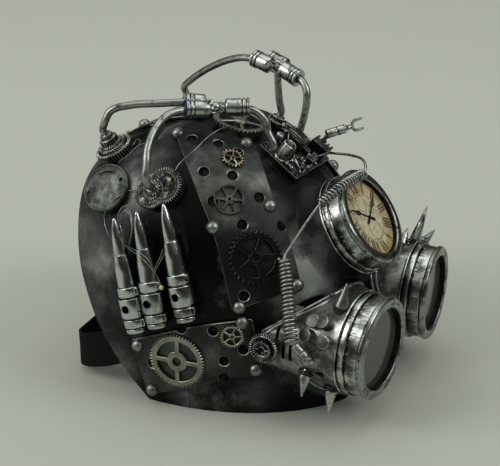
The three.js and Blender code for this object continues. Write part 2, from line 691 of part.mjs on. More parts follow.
// Three-way couplings: sleeves linked to a ball. Each sleeve runs from its inner end to its hose end.
function bar(from, to, radius, sides = 6) {
  return aimed(rod(radius, 0, from.distanceTo(to), sides), from, to.clone().sub(from));
}
const COUPLINGS = {
  coupling_low: {
    ball: v(-27, 26, 170.2),
    sleeves: [
      [v(-31, 27.6, 169.6), v(-41, 38, 170.7)],
      [v(-24, 34.5, 171), v(-32, 43.5, 172.4)],
      [v(-24.3, 21.5, 170), v(-16.8, 9, 170)],
    ],
  },
  coupling_high: {
    ball: v(23, 11, 185.5),
    sleeves: [
      [v(22.4, 15, 186), v(25, 28, 189.2)],
      [v(30.4, 8.4, 184.6), v(33, 21.6, 188)],
      [v(22, 7.6, 185.6), v(19, -5.6, 181)],
    ],
  },
};
const BALL = { radius: 3.6, link: 2.2 };
function coupling({ ball, sleeves }, grow) {
  const links = sleeves.map(([from, to]) => bar(ball, from.clone().lerp(to, 0.3), BALL.link, 4));
  const blocks = sleeves.map(([from, to]) => {
    const length = from.distanceTo(to);
    const block = rod(SLEEVE.radius + grow, -grow, length + grow, SLEEVE.sides);
    return aimed(block, from, to.clone().sub(from));
  });
  const knob = new THREE.SphereGeometry(BALL.radius + grow, 6, 4).translate(ball.x, ball.y, ball.z);
  return join(knob, ...links, ...blocks);
}
for (const [name, spec] of Object.entries(COUPLINGS)) add(name, coupling(spec, 0), FINISH.chrome);

// A round tube along a smooth route.
function tube(route, radius, sides, steps) {
  const section = [];
  for (let k = 0; k < sides; k += 1) section.push(polar(radius, (2 * Math.PI * k) / sides));
  const extrudePath = new THREE.CatmullRomCurve3(route);
  return closed(new THREE.ExtrudeGeometry(new THREE.Shape(section), { steps, extrudePath }));
}

// Circuit board resting on the front of the crown, with its parts on top.
const BOARD = { width: 46, depth: 30, wall: 1.6, lift: 0.7, shiftX: 4 };
const BOARD_TOP = BOARD.wall + SEAT_GAP;
const CAPACITOR = { x: -10.6, y: 4, radius: 4, tall: 11.5, sides: 12 };
const RELAY = { x: 7, y: 4, wide: 13, deep: 10, tall: 11 };
const TERMINAL = { x: 17, y: -8.5, wide: 11, deep: 9, tall: 9 };
const TRANSISTOR = { x: 1, y: -9, wide: 9, deep: 5, tall: 6 };
const board = new THREE.Group();
const boardPlace = seat(0, -10.5, 139);
const boardTurn = new THREE.Matrix4().makeBasis(
  v(1, 0, 0), boardPlace.normal.clone().cross(v(1, 0, 0)), boardPlace.normal,
);
board.quaternion.setFromRotationMatrix(boardTurn);
board.position.copy(raised(boardPlace, BOARD.lift)).add(v(BOARD.shiftX, 0, 0));
board.updateMatrix();
mask.add(board);
const onBoard = (x, y, z) => v(x, y, z).applyMatrix4(board.matrix);
const block = ({ x, y, wide, deep, tall }, from) => {
  return new THREE.BoxGeometry(wide, deep, tall).translate(x, y, from + tall / 2);
};
const slab = { x: 0, y: 0, wide: BOARD.width, deep: BOARD.depth, tall: BOARD.wall };
const can = rod(CAPACITOR.radius, BOARD_TOP, BOARD_TOP + CAPACITOR.tall, CAPACITOR.sides);
add("circuit_board", block(slab, 0), FINISH.board, board);
add("capacitor", can.translate(CAPACITOR.x, CAPACITOR.y, 0), FINISH.chrome, board);
add("relay_block", block(RELAY, BOARD_TOP), FINISH.blackPlastic, board);
add("terminal_block", block(TERMINAL, BOARD_TOP), FINISH.blackPlastic, board);
add("transistor_block", block(TRANSISTOR, BOARD_TOP), FINISH.blackPlastic, board);

// Fork terminal on a short post above the terminal block.
const FORK = { post: 5.4, barrel: 15, prong: 8, spread: 3.2 };
const FORK_RADIUS = { post: 1.3, barrel: 2.4, yoke: 1.1, prong: 0.9 };
const forkAxis = v(0.72, -0.66, 0.2).normalize();
const forkSide = v(0, 0, 1).addScaledVector(forkAxis, -forkAxis.z).normalize();
const forkFoot = onBoard(TERMINAL.x + 1, TERMINAL.y + 2.5, BOARD_TOP + TERMINAL.tall + SEAT_GAP);
const forkBend = forkFoot.clone().addScaledVector(boardPlace.normal, FORK.post);
const forkPoint = (along, side) => {
  return forkBend.clone().addScaledVector(forkAxis, along).addScaledVector(forkSide, side);
};
function forkProng(side) {
  return bar(forkPoint(FORK.barrel, side), forkPoint(FORK.barrel + FORK.prong, side), FORK_RADIUS.prong);
}
const yokeReach = FORK.spread + FORK_RADIUS.yoke;
const fork = join(
  bar(forkFoot, forkBend, FORK_RADIUS.post),
  bar(forkPoint(-1.5, 0), forkPoint(FORK.barrel, 0), FORK_RADIUS.barrel),
  bar(forkPoint(FORK.barrel, -yokeReach), forkPoint(FORK.barrel, yokeReach), FORK_RADIUS.yoke),
  forkProng(FORK.spread),
  forkProng(-FORK.spread),
);
add("fork_terminal", fork, FINISH.chrome);

// Hoses run from gear stacks and board parts into the couplings, which trim their ends.
const SLEEVE_SHARE = 0.2;
const into = (name, index) => {
  const [from, to] = COUPLINGS[name].sleeves[index];
  return to.clone().lerp(from, SLEEVE_SHARE);
};
const ontoBoard = (x, y, z) => [onBoard(x, y, z + HOSE.radius), onBoard(x, y, z)];
const HOSES = {
  hose_a: {
    steps: 10,
    route: [
      ...outOfStack("gear_stack_rear_right"), v(-54, 86.5, 159.5), v(-51, 83.5, 166.5), v(-45, 72.6, 169.9),
      v(-39, 57, 171.4), into("coupling_low", 1),
    ],
  },
  hose_b: {
    steps: 11,
    route: [
      ...outOfStack("gear_stack_side"), v(-82, 40, 140), v(-80, 40.4, 147), v(-75.5, 42.4, 155),
      v(-64, 43.5, 165), v(-51, 42, 170), into("coupling_low", 0),
    ],
  },
  hose_c: {
    steps: 11,
    route: [
      ...outOfStack("gear_stack_rear_left"), v(44.5, 91.6, 159), v(39, 82, 167), v(35, 68, 176),
      v(31, 52, 183.8), v(27.5, 38, 188), into("coupling_high", 0),
    ],
  },
  hose_d: {
    steps: 7,
    route: [
      into("coupling_high", 2), v(16.3, -9, 174.5), v(14.2, -10.8, 166),
      ...ontoBoard(RELAY.x + 2, RELAY.y - 1, BOARD_TOP + RELAY.tall + SEAT_GAP),
    ],
  },
  hose_e: {
    steps: 5,
    route: [
      v(23, 11, 181), v(23, 10.2, 170.8), v(22.8, 8.8, 162), ...outOfStack("gear_stack_front").reverse(),
    ],
  },
  hose_f: {
    steps: 7,
    route: [
      into("coupling_low", 2), v(-14.2, 5.4, 166.8), v(-12.4, 0.6, 161.5), v(-12.6, -1, 155.5),
      ...ontoBoard(-17.5, 8, BOARD_TOP),
    ],
  },
};
const couplingBlanks = Object.values(COUPLINGS).map((spec) => coupling(spec, SEAT_GAP));
for (const [name, { route, steps }] of Object.entries(HOSES)) {
  add(name, cut(tube(route, HOSE.radius, HOSE.sides, steps), ...couplingBlanks), FINISH.chrome);
}

// Coil springs as tubes of their outer diameter, with the thick wires that run to them.
const TUBES = {
  clock_spring: {
    radius: 2.9, sides: 8, steps: 6,
    route: [v(5, -53.9, 135), v(-19.9, -52.2, 131.8), v(-34.9, -46.6, 125.3)],
  },
  cheek_spring: {
    radius: 3.8, sides: 8, steps: 2,
    route: [v(-57.8, -35.4, 97.6), v(-67.8, -42.8, 77.9), v(-77.9, -49.8, 58)],
  },
  clock_wire: {
    radius: 0.8, sides: 5, steps: 7,
    route: [
      onBoard(TERMINAL.x + 2, TERMINAL.y - TERMINAL.deep / 2 - 2 * SEAT_GAP, BOARD_TOP + 3),
      v(17, -43, 138.8), v(11, -51.5, 138.4), v(6.3, -54.1, 135.6),
    ],
  },
  cheek_wire: {
    radius: 0.8, sides: 5, steps: 7,
    route: [v(-35.6, -46.3, 124.8), v(-40.9, -40.7, 114.7), v(-51.6, -36.7, 104), v(-57.4, -35.2, 98.4)],
  },
};
for (const [name, { route, radius, sides, steps }] of Object.entries(TUBES)) {
  add(name, tube(route, radius, sides, steps), FINISH.chrome);
}
const CRIMP = { radius: 2.3, hookRadius: 1.1, from: v(-77.3, -52.6, 55), to: v(-77.3, -58.6, 50) };
const CRIMP_HOOK = v(-77.3, -61.5, 47);
const crimpBarrel = bar(CRIMP.from, CRIMP.to, CRIMP.radius);
const crimpHook = bar(CRIMP.from.clone().lerp(CRIMP.to, 0.7), CRIMP_HOOK, CRIMP.hookRadius);
add("spring_crimp", join(crimpBarrel, crimpHook), FINISH.chrome);

// Elastic strap across the open back: a flat band that rises from the back of its loop to its ends.
const STRAP = { wall: 1.6, low: 8, width: 19, rise: 14, steps: 16 };
const STRAP_HALF = [
  v(-82, 40, 0), v(-81.7, 58, 0), v(-79.5, 80, 0), v(-74, 97, 0), v(-58, 107, 0), v(-30, 112, 0),
];

// A closed solid through sections that have equally many corners.
function lofted(sections) {
  const corners = sections[0].length;
  const last = (sections.length - 1) * corners;
  const triangles = [];
  for (let i = 0; i < last; i += corners) {
    for (let k = 0; k < corners; k += 1) {
      const next = (k + 1) % corners;
      triangles.push(i + k, i + next, i + corners + next, i + k, i + corners + next, i + corners + k);
    }
  }
  for (let k = 1; k < corners - 1; k += 1) {
    triangles.push(0, k + 1, k, last, last + k, last + k + 1);
  }
  return closed(meshOf(sections.flat(), triangles));
}

function strapSolid() {
  const left = STRAP_HALF.map((p) => v(-p.x, p.y, 0)).reverse();
  const line = new THREE.CatmullRomCurve3([...STRAP_HALF, v(0, 113.5, 0), ...left]);
  const sections = line.getPoints(STRAP.steps).map((p, i) => {
    const along = line.getTangent(i / STRAP.steps);
    const half = v(-along.y, along.x, 0).multiplyScalar(STRAP.wall / 2);
    const low = STRAP.low + STRAP.rise * Math.abs((2 * i) / STRAP.steps - 1);
    const corner = (sign, z) => p.clone().addScaledVector(half, sign).setZ(z);
    const high = low + STRAP.width;
    return [corner(1, low), corner(1, high), corner(-1, high), corner(-1, low)];
  });
  return lofted(sections);
}
add("elastic_strap", strapSolid(), FINISH.elastic);

// Origin under the middle of the whole mask, on the surface that it stands on.
const box = new THREE.Box3().setFromObject(mask);
mask.position.set(-(box.min.x + box.max.x) / 2, -(box.min.y + box.max.y) / 2, -box.min.z);
mask.updateMatrixWorld(true);

export default mask;
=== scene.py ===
"""Finished look of a steampunk half mask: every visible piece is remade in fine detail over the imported
solids and in their frame. Shapes are worked out in millimetres in the mask's own coordinates, where the
face looks along -Y, the wearer's right side is at -X and Z is the height above the floor."""

import math

import bmesh
import bpy
import numpy as np
from bpy.props import FloatProperty, FloatVectorProperty, IntProperty, PointerProperty
from mathutils import Matrix, Vector
from mathutils.bvhtree import BVHTree
from mathutils.geometry import delaunay_2d_cdt


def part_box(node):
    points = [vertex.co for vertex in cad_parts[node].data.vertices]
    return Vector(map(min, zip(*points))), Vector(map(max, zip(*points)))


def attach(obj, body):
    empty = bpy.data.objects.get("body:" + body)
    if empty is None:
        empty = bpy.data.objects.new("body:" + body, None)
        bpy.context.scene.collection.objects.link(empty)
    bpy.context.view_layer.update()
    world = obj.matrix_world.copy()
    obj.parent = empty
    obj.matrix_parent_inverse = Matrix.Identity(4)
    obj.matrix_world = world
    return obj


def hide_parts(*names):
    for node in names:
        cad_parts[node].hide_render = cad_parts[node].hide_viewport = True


bl_info = {
    "name": "Steampunk mask",
    "version": (1, 0, 0),
    "blender": (4, 5, 0),
    "location": "View3D > Sidebar > Mask",
    "description": "Builds the finished pieces of a steampunk half mask around its packed solids",
    "category": "Add Mesh",
}

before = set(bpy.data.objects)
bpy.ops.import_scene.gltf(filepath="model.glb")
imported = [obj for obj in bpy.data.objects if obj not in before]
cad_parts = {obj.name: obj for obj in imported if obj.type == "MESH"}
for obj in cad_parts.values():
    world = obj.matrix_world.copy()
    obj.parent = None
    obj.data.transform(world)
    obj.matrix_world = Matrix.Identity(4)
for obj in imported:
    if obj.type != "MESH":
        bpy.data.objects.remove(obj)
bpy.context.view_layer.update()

# The shell is alike on both sides and its rearmost point is known, so its box gives the mask's place.
MM = 0.001
SHELL_REAR = 110.044
SHELL_LOW, SHELL_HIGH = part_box("mask_shell")
MASK_ORIGIN = np.array([
    (SHELL_LOW[0] + SHELL_HIGH[0]) / 2, SHELL_HIGH[1] - SHELL_REAR * MM, SHELL_LOW[2],
])

# Head form: horizontal sections are superellipses that shrink towards the crown.
HALF_WIDTH = 86.0
CENTRE_Y = 40.0
FRONT_REACH = 108.0
REAR_REACH = 122.0
HEAD_TOP = 156.0
WIDTH_TAPER_FROM = 40.0
WIDTH_TAPER_POWER = 2.8
DEPTH_TAPER_FROM = 20.0
FRONT_TAPER_POWER = 1.9
REAR_TAPER_POWER = 2.0
FRONT_SECTION_POWER = 2.0
REAR_SECTION_POWER = 3.0
LOWER_TUCK = 0.03
CORE = np.array([0.0, 40.0, 50.0])
APEX = np.array([0.0, -0.55, 0.83])
SHELL_WALL = 2.0
NOSE_HEIGHT = 16.0
NOSE_HALF_WIDTH = 24.0
SEAT_REACH = 260.0
SEAT_HALVINGS = 40
SLOPE_STEP = 0.01
REAR_RIM = [(42, 0), (60, 20), (75, 42), (88, 72), (97, 105), (103, 123), (108, 129.5), (110, 131.3)]

# Plates that lie on the form.
PLATE_LOW = 1.2
PLATE_TOP = 2.4
PLATE_CHAMFER = 0.35
SEAT_GAP = 0.35

# Round eye cups, measured from the plane of the bezel's face.
CUP_OPENING = 24.0
CUP_BEZEL = 30.0
CUP_BEZEL_DEPTH = 9.0
CUP_RECESS = 26.4
CUP_SLEEVE = 26.5
CUP_SKIRT = 28.4
CUP_FRONT = 3.2
CUP_BACK = 16.5
CUP_DEPTH = 20.7
CUP_PROFILE = [
    (31.0, 16.5), (31.0, 15.3), (29.5, 15.0), (29.5, 14.4), (30.5, 14.1), (30.5, 11.3), (29.8, 10.9),
    (29.1, 10.4),
    (29.1, 3.7), (28.6, 3.2),
]
PANE_RADIUS = 26.0
DIAL_DEPTH = 3.4
LENS_DEPTH = 4.2
PANE_WALL = 2.0
CUP_SEGMENTS = 96
GOGGLE_POINT = np.array([-44.0, -92.0, 48.0])
GOGGLE_AXIS = np.array([-0.07, -0.997, -0.02])
CLOCK_POINT = np.array([0.0, -64.7, 110.0])
CLOCK_AXIS = np.array([0.0, -0.832, 0.555])
CLOCK_SKIRT = 22.0
# Painted highlights on the clock case, and a painted shade where the strength is negative: centre, reach and
# strength.
CLOCK_PAINTED_LIGHT = [((-26, -51, 117), 7, 1.6), ((-29, -57, 107), 6, -0.35), ((26, -51, 117), 7, 0.8),
               ((0, -76, 86), 8, 0.4)]
CLOCK_SEAT_TOP = 30.4
CLOCK_SEAT_FOOT = 41.0
CLOCK_SEAT_DROP = 14.0

# Camera of the photograph: place, view axes and focal length in pixels of its 500 wide frame.
CAMERA_POINT = (-571.2, -289.2, 333.8)
CAMERA_BACK = (-0.8218, -0.4416, 0.3600)
CAMERA_RIGHT = (0.4733, -0.8809, 0.0)
CAMERA_UP = (0.3171, 0.1704, 0.9330)
FOCAL_PIXELS = 1103.0
IMAGE_WIDTH = 500.0
SENSOR_WIDTH = 36.0


# Colours and properties
def linear(hex_text):
    """An sRGB hex colour as linear RGBA."""
    channels = [int(hex_text[i:i + 2], 16) / 255 for i in (1, 3, 5)]
    curve = [c / 12.92 if c <= 0.04045 else ((c + 0.055) / 1.055) ** 2.4 for c in channels]
    return (*curve, 1.0)


def colour_property(name, description, hex_text):
    return FloatVectorProperty(
        name=name, description=description, default=linear(hex_text), size=4, min=0.0, max=1.0,
        subtype="COLOR",
    )


def length_property(name, description, millimetres):
    return FloatProperty(
        name=name, description=description, default=millimetres * MM, min=0.0, unit="LENGTH", precision=5,
    )


class MaskColours(bpy.types.PropertyGroup):
    """Colours of the mask's finishes and of the studio"""

    shell_dark: colour_property("Shell", "Dark gunmetal spray on the moulded shell", "#070807")
    plate_dark: colour_property("Plates", "Dark ground of the perforated plates", "#272926")
    cast_dark: colour_property("Goggle bases", "Dark ground of the moulded goggle bases", "#484a47")
    gear_dark: colour_property("Dark gears", "Blackened wheels and gear stacks", "#0f0f0e")
    silver: colour_property("Silver", "Silver paint brushed over the dark grounds", "#9da19c")
    nickel: colour_property("Nickel", "Loose metal gears", "#9b9a8c")
    brass: colour_property("Brass", "Small brass gear", "#938d77")
    dial_paper: colour_property("Dial", "Aged paper of the clock dial", "#d0ccae")
    dial_stain: colour_property("Dial stain", "Brown foxing of the clock dial", "#9a7e46")
    ink: colour_property("Ink", "Numerals and hands of the clock", "#37322b")
    lens: colour_property("Lens", "Smoked acrylic of the goggles", "#343633")
    plastic: colour_property("Plastic", "Black moulded plastic", "#0d0e0d")
    elastic: colour_property("Elastic", "Black woven elastic", "#050505")
    bead: colour_property("Beads", "Small lamps on the loose wires", "#c9b54a")
    floor: colour_property("Floor", "Pale studio floor", "#abafa5")
    sky: colour_property("Studio", "Soft light from all round", "#d3d7cd")


class MaskSizes(bpy.types.PropertyGroup):
    """Sizes that a user may change without moving a piece off its seat"""

    rivet_radius: length_property("Rivet radius", "Radius of the domed rivets", 3.9)
    rivet_height: length_property("Rivet height", "Height of the rivet domes above the plates", 3.5)
    hose_radius: length_property("Hose radius", "Radius of the hoses", 2.25)
    thick_wire: length_property("Thick wire", "Radius of the wires that run to the springs", 0.8)
    loose_wire: length_property("Loose wire", "Radius of the fine loose wires", 0.28)
    spring_wire: length_property("Spring wire", "Radius of the wire of the springs", 0.78)
    key_power: FloatProperty(name="Key light", description="Power of the main soft light", default=3.0,
                             unit="POWER")
    strap_ribs: IntProperty(name="Strap ribs", description="Ribs along the elastic strap", default=9, min=1)


# Node helpers shared by materials and geometry trees
def add_node(tree, kind, links=None, **settings):
    """Adds one node, sets its properties, and links or fills its inputs."""
    node = tree.nodes.new(kind)
    for key, value in settings.items():
        setattr(node, key, value)
    for socket, value in (links or {}).items():
        if isinstance(value, bpy.types.NodeSocket):
            tree.links.new(value, node.inputs[socket])
        else:
            node.inputs[socket].default_value = value
    return node


def maths(tree, operation, *values, clamp=False):
    """What a math node makes of its values."""
    return add_node(
        tree, "ShaderNodeMath", dict(enumerate(values)), operation=operation, use_clamp=clamp,
    ).outputs[0]


def ranged(tree, value, given=(0, 1), to=(0, 1), **settings):
    """A value carried over from one span to another, and held inside it."""
    return add_node(tree, "ShaderNodeMapRange", {
        "Value": value, "From Min": given[0], "From Max": given[1], "To Min": to[0], "To Max": to[1],
    }, **settings).outputs[0]


def per_mm(size):
    """Texture scale that repeats about once in a size given in millimetres."""
    return 1 / (size * MM)


def noise(tree, place, size, **inputs):
    """Noise whose clouds are about as wide as a size in millimetres."""
    return add_node(tree, "ShaderNodeTexNoise", {
        "Vector": place, "Scale": per_mm(size), **inputs,
    }).outputs["Fac"]


def blended(tree, share, first, second):
    """A colour between two others."""
    return add_node(tree, "ShaderNodeMix", {0: share, 6: first, 7: second}, data_type="RGBA").outputs[2]


def bumped(tree, height, strength, depth):
    """Normals of a fine relief whose depth is in millimetres."""
    return add_node(tree, "ShaderNodeBump", {
        "Height": height, "Strength": strength, "Distance": depth * MM,
    }).outputs[0]


def new_material(name):
    """An empty material, its node tree, and the place of every point in it."""
    material = bpy.data.materials.new(name)
    material.use_nodes = True
    tree = material.node_tree
    tree.nodes.clear()
    return material, tree, add_node(tree, "ShaderNodeTexCoord").outputs["Object"]


def shaded(material, inputs):
    """Ends a material with its shader."""
    shader = add_node(material.node_tree, "ShaderNodeBsdfPrincipled", inputs)
    add_node(material.node_tree, "ShaderNodeOutputMaterial", {"Surface": shader.outputs[0]})
    return material


# Dry-brushed finishes, one for each real material
HAIR_SIZE = 1.1
GRAIN_SIZE = 0.7
GRAIN_STRENGTH = 0.35
PATCHY_BAND = (0.36, 0.64)
PATCHY_WEAR = (0.2, 1.5)
DRY_BRUSHED = {
    # Vacuum formed plastic sprayed gunmetal, then dusted with silver: dark gloss, cloudy on high ground.
    "gunmetal_paint": dict(
        dark="shell_dark", light="#959994", patch=30, cover=(0.52, 1.0), rough=(0.28, 0.40), metal=0.0,
        stretch=(1, 1, 0.3), hair=0.22, edge=0.8, grain=0.06, silver=0.6, gloss=0.12),
    # Thin sheet with a satin face and fine grain: even grey sheen, bright cut edges.
    "brushed_plate": dict(
        dark="plate_dark", light="silver", patch=18, cover=(0.50, 1.25), rough=(0.46, 0.42), metal=0.85,
        hair=0.22, edge=0.9, grain=0.08, silver=0.9),
    # Moulded goggle base, sprayed dark and rubbed with silver on its ridges.
    "cast_base_paint": dict(
        dark="cast_dark", light="silver", patch=9, cover=(0.38, 0.66), rough=(0.36, 0.33), metal=0.8,
        stretch=(0.3, 1, 1), hair=0.25, edge=0.9),
    # Cast pewter disc: soft mottled grey with scratches.
    "cast_pewter": dict(
        dark="#2c2e2c", light="#62665f", patch=9, cover=(0.38, 0.70), rough=(0.50, 0.44), metal=0.9,
        stretch=(0.2, 1, 1), hair=0.4, edge=0.7),
    # Silvered plastic rubbed with black: bright rolls of light broken by dark smears.
    "chromed_plastic": dict(
        dark="#202220", light="#b2b6b1", patch=6, cover=(0.34, 0.56), rough=(0.34, 0.26), metal=0.9,
        stretch=(1, 1, 0.3), edge=0.9),
    # Thick silvered cable: satin grey with small dark scuffs.
    "satin_hose": dict(
        dark="#343634", light="#9a9e99", patch=4, cover=(0.28, 0.52), rough=(0.44, 0.37), metal=0.95,
        hair=0.35, edge=0.9),
    # Polished dummy cartridge: clean silver with faint dark streaks drawn along it.
    "polished_case": dict(
        dark="#3b3d3b", light="#c6cac5", patch=16, cover=(0.26, 0.58), rough=(0.24, 0.17), metal=0.95,
        stretch=(1, 1, 0.1), hair=0.4, edge=0.9),
    # Domed steel rivet heads: satin and evenly grey.
    "dome_steel": dict(
        dark="#5f625e", light="#a2a6a1", patch=3, cover=(0.30, 0.68), rough=(0.44, 0.37), metal=1.0,
        edge=0.5),
    # Matt, light swallowing black set in holes and openings as painted shade.
    "pit_black": dict(
        dark="#030303", light="#0b0b0b", patch=3, cover=(0.4, 0.7), rough=(0.9, 0.95), metal=0.0, edge=0.1),
    # Small blue rubber ring, dulled by overspray.
    "blue_rubber": dict(
        dark="#141d44", light="#2b3560", patch=2, cover=(0.4, 0.8), rough=(0.5, 0.6), metal=0.0, edge=0.2),
    # Turned cup, silver over black: patches of brushed silver on a dark wall, rims rubbed bright.
    "cup_paint": dict(
        dark="#111211", light="#bcc0bb", patch=9, cover=(0.50, 0.62), rough=(0.30, 0.24), metal=0.8,
        stretch=(1, 0.15, 1), hair=0.4, edge=1.0),
    # Satin silver bezel, darker in its turned corners.
    "bezel_paint": dict(
        dark="#242624", light="#9ca09b", patch=9, cover=(0.40, 0.68), rough=(0.34, 0.27), metal=0.95,
        stretch=(1, 0.3, 1), hair=0.4, edge=0.8),
    # Stamped steel gear with dull nickel plate: even warm grey, slightly cloudy.
    "nickel_plate": dict(
        dark="#7b7a6e", light="nickel", patch=6, cover=(0.30, 0.70), rough=(0.42, 0.38), metal=1.0, edge=0.5),
    # Moulded gears, nearly black, with silver caught on the tips of the teeth.
    "blackened_gear": dict(
        dark="gear_dark", light="#51544f", patch=6, cover=(0.55, 0.95), rough=(0.46, 0.42), metal=0.7,
        hair=0.35, edge=0.7),
    # Black moulded gear stacks, every tooth rubbed silver.
    "rubbed_gear": dict(
        dark="gear_dark", light="#b2b5ae", patch=5, cover=(0.52, 0.84), rough=(0.52, 0.38), metal=0.8,
        hair=0.4, edge=1.0),
    # Thin stamped wheel whose plating has dulled to dark grey.
    "dull_nickel": dict(
        dark="#2c2d2a", light="#6f7069", patch=6, cover=(0.36, 0.74), rough=(0.44, 0.38), metal=0.95,
        edge=0.6),
    # Stamped brass gone brown, yellow only where it is rubbed.
    "old_brass": dict(
        dark="#4b483e", light="brass", patch=5, cover=(0.36, 0.66), rough=(0.42, 0.32), metal=1.0, edge=0.7),
    # Board and plastic parts oversprayed black, with silver dust on top.
    "circuit_board_resin": dict(
        dark="plastic", light="#989b96", patch=4.5, cover=(0.47, 0.76), rough=(0.44, 0.36), metal=0.3,
        hair=0.4, edge=0.9),
    # Moulded black washers: satin, with a faint grey bloom.
    "moulded_black": dict(
        dark="plastic", light="#3b3d3b", patch=5, cover=(0.55, 0.95), rough=(0.38, 0.50), metal=0.0,
        edge=0.25),
}


def tone(colours, text):
    """A colour given in hex or by the name of a property."""
    return linear(text) if text.startswith("#") else getattr(colours, text)


def dry_brushed(name, colours, dark, light, patch, cover, rough, metal, edge,
                stretch=(1, 1, 1), hair=0.3, grain=0.05, silver=1.0, gloss=0.5):
    """A dark ground with silver dragged over it: blotches, brush hairs and bright rubbed edges.

    patch is the size of the blotches in mm, cover the band of noise over which silver fades in, rough the
    roughness of ground and silver, metal and silver their metalness, edge the brightness of rubbed edges,
    stretch the drag of the brush hairs, hair their share, grain the depth of the grain in mm and gloss the
    specular level.
    """
    material, tree, place = new_material(name)
    blotch = noise(tree, place, patch, Detail=6.0, Roughness=0.62)
    dragged = add_node(tree, "ShaderNodeMapping", {"Vector": place, "Scale": stretch}).outputs[0]
    hairs = noise(tree, dragged, HAIR_SIZE, Detail=4.0, Roughness=0.7)
    layered = maths(tree, "MULTIPLY_ADD", hairs, hair, blotch)
    cover, band = ([end + hair / 2 for end in ends] for ends in (cover, PATCHY_BAND))
    silvered = ranged(tree, layered, cover, interpolation_type="SMOOTHSTEP")
    # wear holds rubbed edges, and on the shell painted sheen as well; dust holds silver dust with painted
    # sheen and painted shade.
    worn, dust = (
        add_node(tree, "ShaderNodeAttribute", attribute_name=kind).outputs["Fac"] for kind in ("wear", "dust")
    )
    patchy = ranged(tree, layered, band, [end * edge for end in PATCHY_WEAR])
    brushed = maths(tree, "MULTIPLY_ADD", maths(tree, "ADD", worn, dust), patchy, silvered, clamp=True)
    tooth = noise(tree, place, GRAIN_SIZE, Detail=3.0)
    return shaded(material, {
        "Base Color": blended(tree, brushed, tone(colours, dark), tone(colours, light)),
        "Roughness": ranged(tree, brushed, to=rough), "Metallic": ranged(tree, brushed, to=(metal, silver)),
        "Normal": bumped(tree, tooth, GRAIN_STRENGTH, grain), "Specular IOR Level": gloss,
    })


# Other materials
def clouded(name, first, second, size, detail, rough):
    """A finish whose colour drifts between two tones."""
    material, tree, place = new_material(name)
    drift = noise(tree, place, size, Detail=detail)
    return shaded(material, {"Base Color": blended(tree, drift, first, second), "Roughness": rough})


def faded_ink(name, colours):
    # Printing ink that has faded in patches.
    return clouded(name, colours.ink, linear("#6b5d48"), 2.5, 4.0, 0.7)


def lamp_bead(name, colours):
    # Tiny cast resin lamp: yellow, clear and glossy.
    return clouded(name, colours.bead, linear("#e7ddb0"), 1.2, 2.0, 0.25)


def smoked_acrylic(name, colours):
    # Flat smoked acrylic pane: dark grey, smooth, with a trace of dust.
    material, tree, place = new_material(name)
    dust = noise(tree, place, 9, Detail=5.0)
    return shaded(material, {
        "Base Color": blended(tree, dust, colours.lens, linear("#4b4d49")),
        "Roughness": ranged(tree, dust, to=(0.08, 0.18)), "IOR": 1.49,
    })


def foxed_paper(name, colours):
    # Printed paper dial: straw coloured, foxed brown towards the rim and matt.
    material, tree, place = new_material(name)
    centre = to_frame(CLOCK_POINT - unit(CLOCK_AXIS) * DIAL_DEPTH)
    outward = add_node(tree, "ShaderNodeVectorMath", {0: place, 1: tuple(centre)}, operation="DISTANCE")
    rim = ranged(tree, outward.outputs["Value"], (10 * MM, 25 * MM), (0, 0.55))
    foxing = noise(tree, place, 5, Detail=8.0, Roughness=0.7, Distortion=0.6)
    stain = maths(tree, "MULTIPLY_ADD", ranged(tree, foxing, (0.40, 0.62)), 0.62, rim, clamp=True)
    return shaded(material, {
        "Base Color": blended(tree, stain, colours.dial_paper, colours.dial_stain), "Roughness": 0.75,
        "Normal": bumped(tree, foxing, 0.1, 0.1),
    })


def woven_elastic(name, colours):
    # Woven elastic tape: matt black with a fine cross weave, drawn coarser than life so that it shows.
    material, tree, place = new_material(name)
    weave = add_node(tree, "ShaderNodeTexWave", {
        "Vector": place, "Scale": per_mm(5.2), "Distortion": 1.0, "Detail": 1.0,
    }, bands_direction="DIAGONAL").outputs["Fac"]
    return shaded(material, {
        "Base Color": blended(tree, weave, colours.elastic, linear("#070707")), "Roughness": 0.9,
        "Specular IOR Level": 0.2, "Normal": bumped(tree, weave, 0.5, 0.2),
    })


def studio_floor(name, colours):
    # Matt paper floor, faintly uneven in tone, with painted light making it paler towards the back.
    material, tree, place = new_material(name)
    behind = add_node(tree, "ShaderNodeVectorMath", {0: place, 1: (0.88, 0.47, 0)}, operation="DOT_PRODUCT")
    painted_light_falloff = ranged(tree, behind.outputs["Value"], (-0.3, 1.5))
    tone_and_light_falloff = maths(tree, "MULTIPLY_ADD", noise(tree, place, 400, Detail=2.0), 0.05, painted_light_falloff)
    return shaded(material, {
        "Base Color": blended(tree, tone_and_light_falloff, colours.floor, linear("#d8dbd2")), "Roughness": 0.85,
    })


MAKERS = {
    maker.__name__: maker
    for maker in (faded_ink, lamp_bead, smoked_acrylic, foxed_paper, woven_elastic, studio_floor)
}


def finish(name):
    """The material of a named finish, made once."""
    colours = bpy.context.scene.mask_colours
    made = bpy.data.materials.get(name)
    if made is None and name in MAKERS:
        made = MAKERS[name](name, colours)
    return made or dry_brushed(name, colours, **DRY_BRUSHED[name])


# Points and curves
def unit(vector):
    vector = np.asarray(vector, float)
    return vector / np.linalg.norm(vector, axis=-1, keepdims=True)


def to_frame(points):
    return np.asarray(points, float) * MM + MASK_ORIGIN


def mirrored(points):
    return np.asarray(points, float) * (-1, 1, 1)


